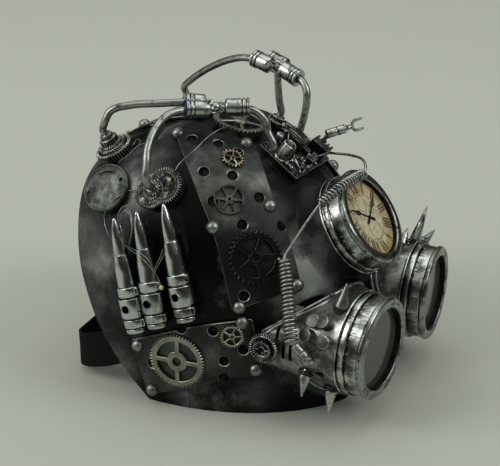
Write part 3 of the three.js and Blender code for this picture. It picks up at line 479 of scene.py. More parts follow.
def curve_at(knots, t):
    """Points of a centripetal Catmull-Rom curve through the knots, for t from 0 to 1."""
    knots = np.asarray(knots, float)
    ghosts = np.vstack([2 * knots[0] - knots[1], knots, 2 * knots[-1] - knots[-2]])
    spans = len(knots) - 1
    along = np.clip(np.asarray(t, float) * spans, 0, spans)
    index = np.minimum(along.astype(int), spans - 1)
    s = (along - index)[:, None]
    p0, p1, p2, p3 = (ghosts[index + k] for k in range(4))
    d0, d1, d2 = (np.sqrt(np.linalg.norm(b - a, axis=1))[:, None] for a, b in ((p0, p1), (p1, p2), (p2, p3)))
    m1 = ((p1 - p0) / d0 - (p2 - p0) / (d0 + d1) + (p2 - p1) / d1) * d1
    m2 = ((p2 - p1) / d1 - (p3 - p1) / (d1 + d2) + (p3 - p2) / d2) * d1
    return p1 + s * (m1 + s * (3 * (p2 - p1) - 2 * m1 - m2 + s * (2 * (p1 - p2) + m1 + m2)))


def evenly(knots, count):
    """Points at even distances along the smooth curve through the knots, both ends included."""
    fine = curve_at(knots, np.linspace(0, 1, 600))
    run = np.concatenate([[0], np.cumsum(np.linalg.norm(np.diff(fine, axis=0), axis=1))])
    return np.stack([np.interp(np.linspace(0, run[-1], count), run, column) for column in fine.T], axis=1)


def path_length(points):
    return float(np.linalg.norm(np.diff(points, axis=0), axis=1).sum())


# Head form
def taper(z, start, power):
    t = np.clip((z - start) / (HEAD_TOP - start), 0, 1)
    return (1 - t ** power) ** (1 / power)


def form_width(z):
    tuck = np.clip((WIDTH_TAPER_FROM - z) / WIDTH_TAPER_FROM, 0, 1)
    return HALF_WIDTH * (1 - LOWER_TUCK * tuck ** 2) * taper(z, WIDTH_TAPER_FROM, WIDTH_TAPER_POWER)


def form_depth(y, z):
    """How far the section reaches from its centre at height z, as a share with its power applied."""
    front = y < CENTRE_Y
    reach = np.where(
        front, FRONT_REACH * taper(z, DEPTH_TAPER_FROM, FRONT_TAPER_POWER),
        REAR_REACH * taper(z, DEPTH_TAPER_FROM, REAR_TAPER_POWER),
    )
    power = np.where(front, FRONT_SECTION_POWER, REAR_SECTION_POWER)
    return (np.abs(y - CENTRE_Y) / np.maximum(reach, 1e-6)) ** power


def form_level(p):
    x, y, z = p[..., 0], p[..., 1], p[..., 2]
    level = (x / np.maximum(form_width(z), 1e-6)) ** 2 + form_depth(y, z)
    return np.where(z >= HEAD_TOP, 2.0, level)


def side_x(y, z):
    return form_width(z) * np.sqrt(np.maximum(0, 1 - form_depth(y, z)))


def seat(points):
    """Points of the form in the directions of the given points from the core, with outward normals."""
    toward = unit(np.atleast_2d(np.asarray(points, float)) - CORE)
    low = np.zeros(len(toward))
    high = np.full(len(toward), SEAT_REACH)
    for _ in range(SEAT_HALVINGS):
        middle = (low + high) / 2
        within = form_level(CORE + toward * middle[:, None]) < 1
        low = np.where(within, middle, low)
        high = np.where(within, high, middle)
    on = CORE + toward * low[:, None]
    steps = np.eye(3) * SLOPE_STEP
    slope = np.stack([form_level(on + step) - form_level(on - step) for step in steps], axis=1)
    return on, unit(slope)


def raised(points, height):
    on, normal = seat(points)
    return on + normal * np.broadcast_to(height, len(on))[:, None]


def seat_one(point):
    on, normal = seat([point])
    return on[0], normal[0]


def shell_edge(rim_steps, front_steps):
    """The shell's edge: from the crown down the rear rim, round the lower rim, and back up the other side."""
    rows = [(-float(side_x(np.array(y), np.array(z))), y, z) for y, z in REAR_RIM]
    rows[-1] = (0.0, *REAR_RIM[-1])
    rim = evenly(rows[::-1], rim_steps + 1)
    angle = np.linspace(math.pi / 2, 0, front_steps + 1)[1:]
    y = CENTRE_Y - FRONT_REACH * np.cos(angle)
    x = -side_x(y + 0.001, np.zeros_like(y))
    x[-1] = 0.0
    z = NOSE_HEIGHT * np.sqrt(1 - np.minimum(1, -x / NOSE_HALF_WIDTH) ** 2)
    right = np.vstack([rim, np.stack([x, y, z], axis=1)])
    return np.vstack([right, mirrored(right[-2:0:-1])])


def shell_rings(edge, rings, offset):
    """Rings of form points from the apex out to the edge, pushed off the form by an offset."""
    apex = unit(APEX)
    target = unit(edge - CORE)
    angle = np.arccos(np.clip(target @ apex, -1, 1))[:, None]
    rows = []
    for number in range(1, rings + 1):
        t = number / rings
        toward = (np.sin((1 - t) * angle) * apex + np.sin(t * angle) * target) / np.sin(angle)
        row = raised(CORE + toward, offset)
        if number == rings:
            row[edge[:, 2] < 0.01, 2] = 0.0
        rows.append(row)
    return np.vstack([raised([CORE + apex], offset), *rows])


def ring_faces(rings, count, flip=False):
    """Faces of a polar grid whose first vertex is its pole."""
    faces = []
    for k in range(count):
        n = (k + 1) % count
        faces.append([0, 1 + k, 1 + n])
        for number in range(rings - 1):
            a, b = 1 + number * count, 1 + (number + 1) * count
            faces.append([a + k, b + k, b + n, a + n])
    return [face[::-1] for face in faces] if flip else faces


# Meshes
SHARP_ANGLE = 40.0
GROWN_SHARP_ANGLE = 50.0


class Stock:
    """Closed bodies in mask millimetres, gathered into one mesh with a wear value on every face."""

    def __init__(self):
        self.points = []
        self.faces = []
        self.wear = []
        self.total = 0

    def add(self, body, place=None):
        points, faces, wear = body
        points = place(points) if place else np.asarray(points, float)
        self.faces += [[i + self.total for i in face] for face in faces]
        self.wear += list(wear)
        self.points.append(points)
        self.total += len(points)
        return self

    def other_side(self):
        """The same bodies on the other side of the mask."""
        twin = Stock()
        twin.points = [mirrored(points) for points in self.points]
        twin.faces = [face[::-1] for face in self.faces]
        twin.wear = list(self.wear)
        twin.total = self.total
        return twin

    def piece(self, name, look, spots=()):
        """All the bodies as one object in a named finish, with silver dust and painted sheen round spots."""
        mesh = bpy.data.meshes.new(name)
        points = np.vstack(self.points)
        mesh.from_pydata(to_frame(points), [], self.faces)
        if spots:
            # The dust attribute holds silver dust together with painted sheen and painted shade round the
            # spots.
            rubbed = mesh.attributes.new("dust", "FLOAT", "POINT")
            rubbed.data.foreach_set("value", dusted(points, spots).astype(np.float32))
        worn = mesh.attributes.new("wear", "FLOAT", "POINT" if len(self.wear) == self.total else "FACE")
        worn.data.foreach_set("value", np.array(self.wear, np.float32))
        mesh.materials.append(finish(look))
        piece = bpy.data.objects.new(name, mesh)
        bpy.context.scene.collection.objects.link(piece)
        soften(piece)
        return piece

    def fasten(self, name, look, slot, *nodes):
        """Makes the piece and fastens it to the mask."""
        settle(self.piece(name, look), slot, *nodes)


def dusted(points, spots):
    """Silver dust and painted sheen round spots given as centre, reach and strength, with painted shade where
    a strength is negative.
    """
    dust = np.zeros(len(points))
    for centre, reach, strength in spots:
        dust += strength * np.exp(-(np.linalg.norm(points - np.asarray(centre), axis=1) / reach) ** 2)
    return dust


def soften(piece, sharp=SHARP_ANGLE):
    """Smooth shading with crisp edges where faces meet at more than an angle in degrees."""
    piece.data.shade_smooth()
    piece.data.set_sharp_from_angle(angle=math.radians(sharp))


def baked(piece):
    """Applies a piece's modifiers and leaves a plain mesh."""
    graph = bpy.context.evaluated_depsgraph_get()
    mesh = bpy.data.meshes.new_from_object(piece.evaluated_get(graph))
    old = piece.data
    piece.modifiers.clear()
    piece.data = mesh
    bpy.data.meshes.remove(old)
    mesh.name = piece.name
    return piece


def carved(piece, *cutters):
    """Cuts solids out of a piece and deletes them."""
    for cutter in cutters:
        modifier = piece.modifiers.new("cut", "BOOLEAN")
        modifier.operation = "DIFFERENCE"
        modifier.solver = "EXACT"
        modifier.object = cutter
    baked(piece)
    for cutter in cutters:
        bpy.data.meshes.remove(cutter.data)
    soften(piece)
    return piece


def settle(piece, slot, *nodes):
    """Fastens a finished piece to the mask and hides the plain solids it stands for."""
    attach(piece, "root")
    if nodes:
        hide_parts(*nodes)


def aim(point, axis, roll=0.0):
    """Turns local +Z to an axis and moves the origin to a point."""
    turn = Vector((0, 0, 1)).rotation_difference(Vector(unit(axis))).to_matrix() @ Matrix.Rotation(roll, 3,
        "Z")
    matrix = np.array(turn)
    return lambda points: np.asarray(points, float) @ matrix.T + np.asarray(point, float)


def basis(origin, x_axis, y_axis):
    """Places local coordinates on two axes and the third that squares them."""
    x_axis, y_axis = unit(x_axis), unit(y_axis)
    matrix = np.stack([x_axis, y_axis, np.cross(x_axis, y_axis)])
    return lambda points: np.asarray(points, float) @ matrix + np.asarray(origin, float)


# Turned bodies
def filleted(profile, radius, steps=3):
    """Rounds a profile's corners. Outer corners are marked as worn bright, inner ones as dark."""
    corners = np.array([row[:2] for row in profile], float)
    forced = [row[2] if len(row) > 2 else 0.0 for row in profile]
    nxt = np.roll(corners, -1, axis=0)
    sign = np.sign(np.sum(corners[:, 0] * nxt[:, 1] - nxt[:, 0] * corners[:, 1]))
    points = [corners[0]]
    marks = []
    for i in range(1, len(corners) - 1):
        back, ahead = corners[i - 1] - corners[i], corners[i + 1] - corners[i]
        size_back, size_ahead = np.linalg.norm(back), np.linalg.norm(ahead)
        turn = sign * (ahead[0] * back[1] - ahead[1] * back[0]) / (size_back * size_ahead)
        reach = min(radius, 0.45 * size_back, 0.45 * size_ahead)
        if reach <= 0 or abs(turn) < 0.25:
            points.append(corners[i])
            marks.append(forced[i - 1])
            continue
        start = corners[i] + back / size_back * reach
        end = corners[i] + ahead / size_ahead * reach
        marks.append(forced[i - 1])
        for k in range(steps + 1):
            t = k / steps
            points.append((1 - t) ** 2 * start + 2 * t * (1 - t) * corners[i] + t * t * end)
            if k < steps:
                marks.append(1.0 if turn > 0 else -0.7)
    points.append(corners[-1])
    marks.append(forced[len(corners) - 2])
    return np.array(points), marks, sign


def turned(profile, segments=48, fillet=0.3):
    """A profile of (radius, height) rows, with a wear value where one is given, turned about local Z."""
    rows, marks, sign = filleted(profile, fillet)
    closed = np.allclose(rows[0], rows[-1])
    rows = rows[:-1] if closed else rows
    angle = np.arange(segments) * 2 * math.pi / segments
    points = []
    starts = []
    for r, z in rows:
        starts.append(len(points))
        if r < 1e-6:
            points.append((0.0, 0.0, z))
        else:
            points.extend(zip(r * np.cos(angle), r * np.sin(angle), np.full(segments, z)))
    faces = []
    wear = []
    for i in range(len(rows) if closed else len(rows) - 1):
        j = (i + 1) % len(rows)
        low, high = starts[i], starts[j]
        for k in range(segments):
            n = (k + 1) % segments
            if rows[i][0] < 1e-6:
                face = [low, high + n, high + k]
            elif rows[j][0] < 1e-6:
                face = [low + k, low + n, high]
            else:
                face = [low + k, low + n, high + n, high + k]
            faces.append(face if sign > 0 else face[::-1])
            wear.append(marks[i])
    return np.array(points), faces, wear


def rod(radius, low, high, segments=32, fillet=0.3):
    return turned([(0, low), (radius, low), (radius, high), (0, high)], segments, fillet)


def ball(radius, segments=24, flatten=1.0):
    angles = np.linspace(-math.pi / 2, math.pi / 2, segments // 2 + 1)
    rows = [(radius * math.cos(a), radius * flatten * math.sin(a)) for a in angles]
    rows[0] = (0, rows[0][1])
    rows[-1] = (0, rows[-1][1])
    return turned(rows, segments, 0)


def ring(radius, wire, segments=32, sides=10):
    angles = np.linspace(0, 2 * math.pi, sides + 1)
    rows = [(radius + wire * math.cos(a), wire * math.sin(a)) for a in angles]
    rows[-1] = rows[0]
    return turned(rows, segments, 0)


# Sheets: flat loops cut out, chamfered and laid on a surface
def inside(points, loop):
    """Which flat points lie inside a closed loop."""
    x, y = points[:, 0], points[:, 1]
    odd = np.zeros(len(points), bool)
    for (x0, y0), (x1, y1) in zip(loop, np.roll(loop, -1, axis=0)):
        if y0 != y1:
            odd ^= ((y0 > y) != (y1 > y)) & (x < (x1 - x0) * (y - y0) / (y1 - y0) + x0)
    return odd


def wound(loop, counter):
    """The loop, running counter-clockwise or clockwise as asked."""
    loop = np.asarray(loop, float)
    nxt = np.roll(loop, -1, axis=0)
    area = np.sum(loop[:, 0] * nxt[:, 1] - nxt[:, 0] * loop[:, 1])
    return loop if (area > 0) == counter else loop[::-1]


def inset(loop, distance):
    """The loop moved to its left by a distance, with mitred corners."""
    ahead = unit(np.roll(loop, -1, axis=0) - loop)
    back = np.roll(ahead, 1, axis=0)
    left = np.stack([-ahead[:, 1], ahead[:, 0]], axis=1) + np.stack([-back[:, 1], back[:, 0]], axis=1)
    stretch = np.maximum(1 + np.sum(ahead * back, axis=1), 0.5)
    return loop + left * (distance / stretch)[:, None]


def flat(points, height):
    return np.column_stack([points, np.broadcast_to(height, len(points))])


def sheet(loops, top, low, chamfer, lay=flat, spacing=None, walls=()):
    """A sheet cut to its first loop and pierced by the others, with chamfered upper edges.

    Loops are flat, in millimetres. lay puts flat points at a height over the surface that carries them, and
    spacing adds points inside where that surface is curved. walls may give the wear of the outer
    wall's faces.
    """
    loops = [wound(loop, i == 0) for i, loop in enumerate(loops)]
    inner = [inset(loop, chamfer) for loop in loops]
    dots = [np.vstack(loops), np.vstack(inner)]
    if spacing:
        lowest, highest = loops[0].min(axis=0), loops[0].max(axis=0)
        grid = np.stack(np.meshgrid(*(np.arange(a, b, spacing) for a, b in zip(lowest, highest))), axis=-1)
        grid = grid.reshape(-1, 2)
        shrunk = [inset(loop, chamfer + 0.4 * spacing) for loop in loops]
        keep = inside(grid, shrunk[0]) & ~np.any([inside(grid, hole) for hole in shrunk[1:]] or [False],
                                                 axis=0)
        dots.append(grid[keep])
    edges = []
    start = 0
    for loop in loops + inner:
        edges += [(start + k, start + (k + 1) % len(loop)) for k in range(len(loop))]
        start += len(loop)
    spots = [Vector(p) for p in np.vstack(dots)]
    out, _, triangles, origins, _, _ = delaunay_2d_cdt(spots, edges, [], 0, 1e-5, True)
    out = np.array([p[:] for p in out])
    triangles = np.array(triangles)
    corner = out[triangles]
    cross = np.cross(corner[:, 1] - corner[:, 0], corner[:, 2] - corner[:, 0])
    triangles = np.where((cross > 0)[:, None], triangles, triangles[:, ::-1])
    middle = corner.mean(axis=1)
    solid = inside(middle, loops[0]) & ~np.any([inside(middle, hole) for hole in loops[1:]] or [False],
                                               axis=0)
    level = inside(middle, inner[0]) & ~np.any([inside(middle, hole) for hole in inner[1:]] or [False],
                                               axis=0)
    triangles, level = triangles[solid], level[solid]
    new = {old: i for i, olds in enumerate(origins) for old in olds}
    outer = sum(len(loop) for loop in loops)
    height = np.full(len(out), top)
    height[[new[i] for i in range(outer)]] = top - chamfer
    points = np.vstack([lay(out, height), lay(out, low)])
    under = len(out)
    faces = triangles.tolist() + (triangles[:, ::-1] + under).tolist()
    wear = np.where(level, 0.0, 1.0).tolist() + [-0.5] * len(triangles)
    for k, (a, b) in enumerate(edges[:outer]):
        a, b = new[a], new[b]
        faces.append([a + under, b + under, b, a])
        wear.append(walls[k] if k < len(walls) else -0.3)
    return points, faces, wear


def circle(radius, centre=(0, 0), count=32, start=0.0, end=2 * math.pi):
    angle = np.linspace(start, end, count, endpoint=end - start < 6.28)
    return np.stack([centre[0] + radius * np.cos(angle), centre[1] + radius * np.sin(angle)], axis=1)


def rounded_box(wide, deep, radius, spacing=None):
    """A rectangle about the origin with round corners."""
    x, y = wide / 2 - radius, deep / 2 - radius
    quarter = math.pi / 2
    corners = [(x, y), (-x, y), (-x, -y), (x, -y)]
    loop = np.vstack([circle(radius, c, 5, i * quarter, (i + 1) * quarter) for i, c in enumerate(corners)])
    return densified(loop, spacing) if spacing else loop


def densified(loop, spacing):
    """The loop with points added along its long edges."""
    rows = []
    for a, b in zip(loop, np.roll(loop, -1, axis=0)):
        steps = max(1, round(np.linalg.norm(b - a) / spacing))
        rows.append(a + (b - a) * (np.arange(steps) / steps)[:, None])
    return np.vstack(rows)


def bitten(outline, hole):
    """Cuts a round notch into an outline where a hole's loop crosses it."""
    outline, hole = wound(outline, True), wound(hole, False)
    dropped = inside(outline, hole)
    if not dropped.any():
        return outline
    first = next(i for i in range(len(outline)) if dropped[i] and not dropped[i - 1])
    kept = np.roll(outline, -first, axis=0)[~np.roll(dropped, -first)]
    on = inside(hole, outline)
    first = next(i for i in range(len(hole)) if on[i] and not on[i - 1])
    return np.vstack([kept, np.roll(hole, -first, axis=0)[np.roll(on, -first)]])


class Patch:
    """The stretch of the head form between two edge curves, with flat coordinates in millimetres."""

    def __init__(self, edge_a, edge_b):
        self.edges = [np.asarray(edge, float) for edge in (edge_a, edge_b)]
        a, b = (curve_at(edge, np.linspace(0, 1, 60)) for edge in self.edges)
        self.long = (path_length(a) + path_length(b)) / 2
        self.wide = float(np.linalg.norm(a - b, axis=1).mean())
        along, across = np.meshgrid(np.linspace(0, self.long, 90), np.linspace(0, self.wide, 40),
                                    indexing="ij")
        self.table = np.stack([along.ravel(), across.ravel()], axis=1)
        self.solid = self.lay(self.table, 0)

    def lay(self, points, height):
        a, b = (curve_at(edge, points[:, 0] / self.long) for edge in self.edges)
        return raised(a + (b - a) * points[:, 1:] / self.wide, height)

    def outline(self, corner, spacing=1.5):
        return rounded_box(self.long, self.wide, corner, spacing) + np.array([self.long, self.wide]) / 2

    def hole(self, point, radius, count=28):
        """Flat loop of a round hole square to the sheet at the place nearest to a point."""
        target = seat_one(point)[0]
        spot = self.table[np.argmin(np.linalg.norm(self.solid - target, axis=1))]
        step = 0.2
        for _ in range(3):
            here, right, up = self.lay(spot + np.array([(0, 0), (step, 0), (0, step)]), 0)
            slope = np.stack([right - here, up - here], axis=1) / step
            spot = spot + np.linalg.lstsq(slope, target - here, rcond=None)[0]
        _, squared = np.linalg.qr(slope)
        return spot + np.linalg.solve(squared, circle(radius, count=count).T).T


# Geometry node trees
FINE_SIDES = 8
DOME_RINGS = 10
RIB_SHARE = 0.62


def new_tree(name, inputs):
    """An empty tree and what its inputs give."""
    tree = bpy.data.node_groups.new(name, "GeometryNodeTree")
    tree.interface.new_socket("Geometry", in_out="INPUT", socket_type="NodeSocketGeometry")
    for label, kind in inputs:
        tree.interface.new_socket(label, in_out="INPUT", socket_type="NodeSocket" + kind)
    tree.interface.new_socket("Geometry", in_out="OUTPUT", socket_type="NodeSocketGeometry")
    return tree, add_node(tree, "NodeGroupInput").outputs


def close_tree(tree, geometry, material):
    """Ends a tree with smooth shading, realized instances and its material."""
    smooth = add_node(tree, "GeometryNodeSetShadeSmooth", {"Geometry": geometry})
    real = add_node(tree, "GeometryNodeRealizeInstances", {"Geometry": smooth.outputs[0]})
    painted = add_node(tree, "GeometryNodeSetMaterial", {"Geometry": real.outputs[0], "Material": material})
    add_node(tree, "NodeGroupOutput", {"Geometry": painted.outputs[0]})
    return tree


def swept(tree, curve, section):
    """A section run along a curve and closed at its ends."""
    return add_node(tree, "GeometryNodeCurveToMesh", {
        "Curve": curve, "Profile Curve": section.outputs[0], "Fill Caps": True,
    }).outputs[0]


def piped(tree, curve, sides, radius):
    """A round section run along a curve."""
    return swept(tree, curve, add_node(tree, "GeometryNodeCurvePrimitiveCircle", {
        "Resolution": sides, "Radius": radius,
    }))


def tube_tree():
    """Round tubes with closed ends along the paths."""
    tree, given = new_tree("tube_tree", [("Radius", "Float"), ("Sides", "Int"), ("Material", "Material")])
    path = add_node(tree, "GeometryNodeMeshToCurve", {"Mesh": given["Geometry"]})
    return close_tree(tree, piped(tree, path.outputs[0], given["Sides"], given["Radius"]), given["Material"])


def coil_tree():
    """A wire wound in a helix round the path."""
    tree, given = new_tree("coil_tree", [
        ("Coil Radius", "Float"), ("Wire Radius", "Float"), ("Turns", "Float"), ("Steps", "Int"),
        ("Material", "Material"),
    ])
    path = add_node(tree, "GeometryNodeMeshToCurve", {"Mesh": given["Geometry"]})
    count = maths(tree, "MULTIPLY", given["Turns"], given["Steps"])
    even = add_node(tree, "GeometryNodeResampleCurve", {"Curve": path.outputs[0], "Count": count})
    index = add_node(tree, "GeometryNodeInputIndex").outputs[0]
    angle = maths(tree, "MULTIPLY", maths(tree, "DIVIDE", index, given["Steps"]), 2 * math.pi)
    tangent = add_node(tree, "GeometryNodeInputTangent")
    normal = add_node(tree, "GeometryNodeInputNormal")
    side = add_node(tree, "ShaderNodeVectorMath", {0: tangent.outputs[0], 1: normal.outputs[0]},
                    operation="CROSS_PRODUCT")
    arms = []
    for wave, direction in (("COSINE", normal), ("SINE", side)):
        reach = maths(tree, "MULTIPLY", maths(tree, wave, angle), given["Coil Radius"])
        arms.append(add_node(tree, "ShaderNodeVectorMath", {
            0: direction.outputs[0], "Scale": reach,
        }, operation="SCALE"))
    offset = add_node(tree, "ShaderNodeVectorMath", {0: arms[0].outputs[0], 1: arms[1].outputs[0]})
    helix = add_node(tree, "GeometryNodeSetPosition",
                     {"Geometry": even.outputs[0], "Offset": offset.outputs[0]})
    wire = piped(tree, helix.outputs[0], FINE_SIDES, given["Wire Radius"])
    return close_tree(tree, wire, given["Material"])


def dome_tree():
    """A flattened ball on every point, turned to the point's facing."""
    tree, given = new_tree("dome_tree", [
        ("Radius", "Float"), ("Height", "Float"), ("Segments", "Int"), ("Material", "Material"),
    ])
    facing = add_node(tree, "GeometryNodeInputNamedAttribute", {"Name": "facing"}, data_type="FLOAT_VECTOR")
    turn = add_node(tree, "FunctionNodeAlignRotationToVector", {"Vector": facing.outputs["Attribute"]},
                    axis="Z")
    dome = add_node(tree, "GeometryNodeMeshUVSphere",
                    {"Segments": given["Segments"], "Rings": DOME_RINGS, "Radius": 1.0})
    scale = add_node(tree, "ShaderNodeCombineXYZ", {
        "X": given["Radius"], "Y": given["Radius"], "Z": given["Height"],
    })
    shaped = add_node(tree, "GeometryNodeTransform", {"Geometry": dome.outputs[0], "Scale": scale.outputs[0]})
    spread = add_node(tree, "GeometryNodeInstanceOnPoints", {
        "Points": given["Geometry"], "Instance": shaped.outputs[0], "Rotation": turn.outputs[0],
    })
    return close_tree(tree, spread.outputs[0], given["Material"])


def strap_tree():
    """A flat tape on edge along the path, with ribs along both of its faces."""
    tree, given = new_tree("strap_tree", [
        ("Width", "Float"), ("Wall", "Float"), ("Ribs", "Int"), ("Material", "Material"),
    ])
    path = add_node(tree, "GeometryNodeMeshToCurve", {"Mesh": given["Geometry"]})
    upright = add_node(tree, "GeometryNodeSetCurveNormal", {"Curve": path.outputs[0]}, mode="Z_UP")
    tape = add_node(tree, "GeometryNodeCurvePrimitiveQuadrilateral", {
        "Width": given["Wall"], "Height": given["Width"],
    })
    core = swept(tree, upright.outputs[0], tape)
    copies = add_node(tree, "GeometryNodeDuplicateElements", {
        "Geometry": path.outputs[0], "Amount": given["Ribs"],
    }, domain="SPLINE")
    pitch = maths(tree, "DIVIDE", given["Width"], given["Ribs"])
    half = maths(tree, "MULTIPLY_ADD", given["Ribs"], 0.5, -0.5)
    step = maths(tree, "SUBTRACT", copies.outputs["Duplicate Index"], half)
    lift = add_node(tree, "ShaderNodeCombineXYZ", {"Z": maths(tree, "MULTIPLY", step, pitch)})
    rows = add_node(tree, "GeometryNodeSetPosition",
                    {"Geometry": copies.outputs[0], "Offset": lift.outputs[0]})
    ribs = piped(tree, rows.outputs[0], FINE_SIDES, maths(tree, "MULTIPLY", given["Wall"], RIB_SHARE))
    both = add_node(tree, "GeometryNodeJoinGeometry")
    for solid in (core, ribs):
        tree.links.new(solid, both.inputs[0])
    return close_tree(tree, both.outputs[0], given["Material"])


def grown(name, maker, paths, values, facing=None):
    """Runs a node tree on bare paths or points in mask millimetres and keeps the result as a plain mesh."""
    tree = bpy.data.node_groups.get(maker.__name__) or maker()
    edges = []
    start = 0
    for path in paths:
        if facing is None:
            edges += [(start + k, start + k + 1) for k in range(len(path) - 1)]
        start += len(path)
    mesh = bpy.data.meshes.new(name)
    mesh.from_pydata(to_frame(np.vstack(paths)), edges, [])
    if facing is not None:
        mesh.attributes.new("facing", "FLOAT_VECTOR", "POINT")
        mesh.attributes["facing"].data.foreach_set("vector", np.asarray(facing, np.float32).ravel())
    piece = bpy.data.objects.new(name, mesh)
    bpy.context.scene.collection.objects.link(piece)
    modifier = piece.modifiers.new("grow", "NODES")
    modifier.node_group = tree
    for item in tree.interface.items_tree:
        if item.in_out == "INPUT" and item.name in values:
            modifier[item.identifier] = values[item.name]
    baked(piece)
    bm = bmesh.new()
    bm.from_mesh(piece.data)
    bmesh.ops.recalc_face_normals(bm, faces=bm.faces)
    bm.to_mesh(piece.data)
    bm.free()
    soften(piece, GROWN_SHARP_ANGLE)
    return piece


def tube(name, routes, radius, material, sides=20, step=1.2):
    paths = [evenly(route, max(8, round(path_length(np.asarray(route, float)) / step))) for route in routes]
    return grown(name, tube_tree, paths, {"Radius": radius, "Sides": sides, "Material": material})


def rivet_domes(name, points, facing, sizes):
    """Rivet heads on points in mask millimetres, each turned to its facing."""
    return grown(name, dome_tree, [points], {
        "Radius": sizes.rivet_radius, "Height": sizes.rivet_height, "Segments": 24,
        "Material": finish("dome_steel"),
    }, facing)


# Shell
SHELL_RING_COUNT = 60
RIM_STEPS = 64
FRONT_STEPS = 60
RIM_SHEEN = 0.20
RIM_SHEEN_WIDTH = 12.0
RIM_SHEEN_STOP = 6
FORM_RIM_STEPS = 40
FORM_FRONT_STEPS = 30
FORM_RINGS = 26
EYE_HOLE = 21.0
EYE_HOLE_GAP = 4.0
EYE_BORE = 22.0
EYE_ROD_LOW = -80.0
# Spots of silver dust set where highlights fall, partly real dust and partly painted highlight: centre, reach
# and strength.
SHEEN_SPOTS = [
    ((-78.5, 82, 97), 12, 0.32), ((-82.8, 73, 82), 11, 0.75), ((-85, 66, 58), 11, 0.26),
    ((-32.6, -39.2, 97.6), 11, 0.42), ((-45, -39, 83.5), 14, 1.7), ((-67.7, 58.6, 129), 12, 0.25),
    ((-54, 48, 143), 14, 0.22), ((-68.6, -24, 15), 11, 0.26), ((-83, 20, 10), 9, 0.20),
    ((-28, -54, 70), 9, 0.35), ((-62, -28, 92), 9, 0.25), ((78, 82, 97), 14, 0.34), ((60, -35, 88), 14, 0.40),
    ((60, 50, 138), 16, 0.25), ((82, 10, 60), 16, 0.25), ((0, -52, 128), 10, 0.25), ((68, -24, 15), 11, 0.32),
    ((85, 66, 61), 14, 0.34), ((-30, 110, 125), 16, 0.25), ((30, 110, 125), 16, 0.25),
]


def sheen(points):
    """Silver dust and painted highlights on the high ground of the shell."""
    return dusted(points, [(seat_one(centre)[0], reach, strength) for centre, reach, strength in SHEEN_SPOTS])


def form_solid(offset):
    """The head form as a closed solid, for trimming what is glued on it."""
    edge = shell_edge(FORM_RIM_STEPS, FORM_FRONT_STEPS)
    points = shell_rings(edge, FORM_RINGS, offset)
    count = len(edge)
    last = 1 + (FORM_RINGS - 1) * count
    faces = ring_faces(FORM_RINGS, count)
    faces += [[last + (k + 1) % count, last + k, len(points)] for k in range(count)]
    body = (np.vstack([points, CORE]), faces, [0.0] * len(faces))
    return Stock().add(body).piece("form", "moulded_black")


def eye_rod(radius, top, sign=1):
    """A long rod on the axis of an eye, for boring what lies behind its cup."""
    side = np.array([sign, 1, 1])
    bar = Stock().add(rod(radius, EYE_ROD_LOW, top, 48, 0), aim(GOGGLE_POINT * side, GOGGLE_AXIS * side))
    return bar.piece("eye_rod", "moulded_black")


def build_shell():
    edge = shell_edge(RIM_STEPS, FRONT_STEPS)
    count = len(edge)
    outer = shell_rings(edge, SHELL_RING_COUNT, 0)
    inner = shell_rings(edge, SHELL_RING_COUNT, -SHELL_WALL)
    half = len(outer)
    rear = edge[np.minimum(np.arange(count), count - np.arange(count)) < RIM_STEPS - RIM_SHEEN_STOP]
    away = np.min([np.linalg.norm(outer - point, axis=1) for point in rear], axis=0)
    # Silver worn along the rear rim, plus the shell's silver dust and painted highlights.
    wear = RIM_SHEEN * np.exp(-(away / RIM_SHEEN_WIDTH) ** 2) + sheen(outer)
    faces = ring_faces(SHELL_RING_COUNT, count)
    faces += [[i + half for i in face] for face in ring_faces(SHELL_RING_COUNT, count, True)]
    last = 1 + (SHELL_RING_COUNT - 1) * count
    for k in range(count):
        n = (k + 1) % count
        faces.append([last + k, last + k + half, last + n + half, last + n])
    body = (np.vstack([outer, inner]), faces, np.concatenate([wear, np.full(half, -1.0)]))
    shell = Stock().add(body).piece("shell", "gunmetal_paint")
    carved(shell, *(eye_rod(EYE_HOLE, -CUP_DEPTH - EYE_HOLE_GAP, sign) for sign in (1, -1)))
    settle(shell, "gunmetal", "mask_shell")


# Plates
BAND_REAR = [(-34, 50, 152.5), (-62.5, 19, 131), (-69.5, 4, 110), (-74, -10.5, 67)]
BAND_FRONT = [(-18, 6.5, 147), (-37, -15.5, 125.5), (-42.5, -28, 107), (-47, -40, 78)]
BAND_HOLES = [
    (-38.5, 35.5, 151), (-34.5, 20.5, 149), (-54.5, 18.5, 138.5), (-46.5, 4.5, 136), (-44.5, -11.5, 125),
    (-59, -8.5, 113), (-69.5, -15.5, 75.5), (-62.1, 8.2, 124.9), (-32.1, 9.0, 145.0),
]
BAND_NOTCHES = [(-43, -25, 110)]
BAND_RIVETS = [
    (-36, 46, 151), (-22, 9, 147), (-42.4, -17.3, 120), (-68, 5, 112), (-71.7, -13.9, 69),
    (-48.8, -38.4, 78.5),
]
CROWN_EDGE = [(-10, 107, 132), (-10, 85, 144), (-10, 60, 151), (-10, 44, 154)]
CROWN_RIVETS = [(0, 93, 141.5), (0, 50, 154)]
CHEEK_TOP = [(-86, 50, 40), (-85.5, 30, 48.5), (-80.5, 7, 57), (-69, -20.5, 62.5)]
CHEEK_LOW = [(-84, 41, 6), (-83.5, 20, 13), (-77, -7, 24), (-67, -27, 28)]
CHEEK_HOLES = [(-79, -1, 54.5), (-72.5, -17, 43.5), (-77.3, -7, 36), (-84.5, 36, 28)]
CHEEK_NOTCHES = [(-79.2, -8.4, 24.6), (-83.4, 17, 54)]
CHEEK_RIVETS = [(-86, 45.5, 37.5), (-84.3, 37.5, 9.5), (-69, -23, 31), (-72, -16, 60)]
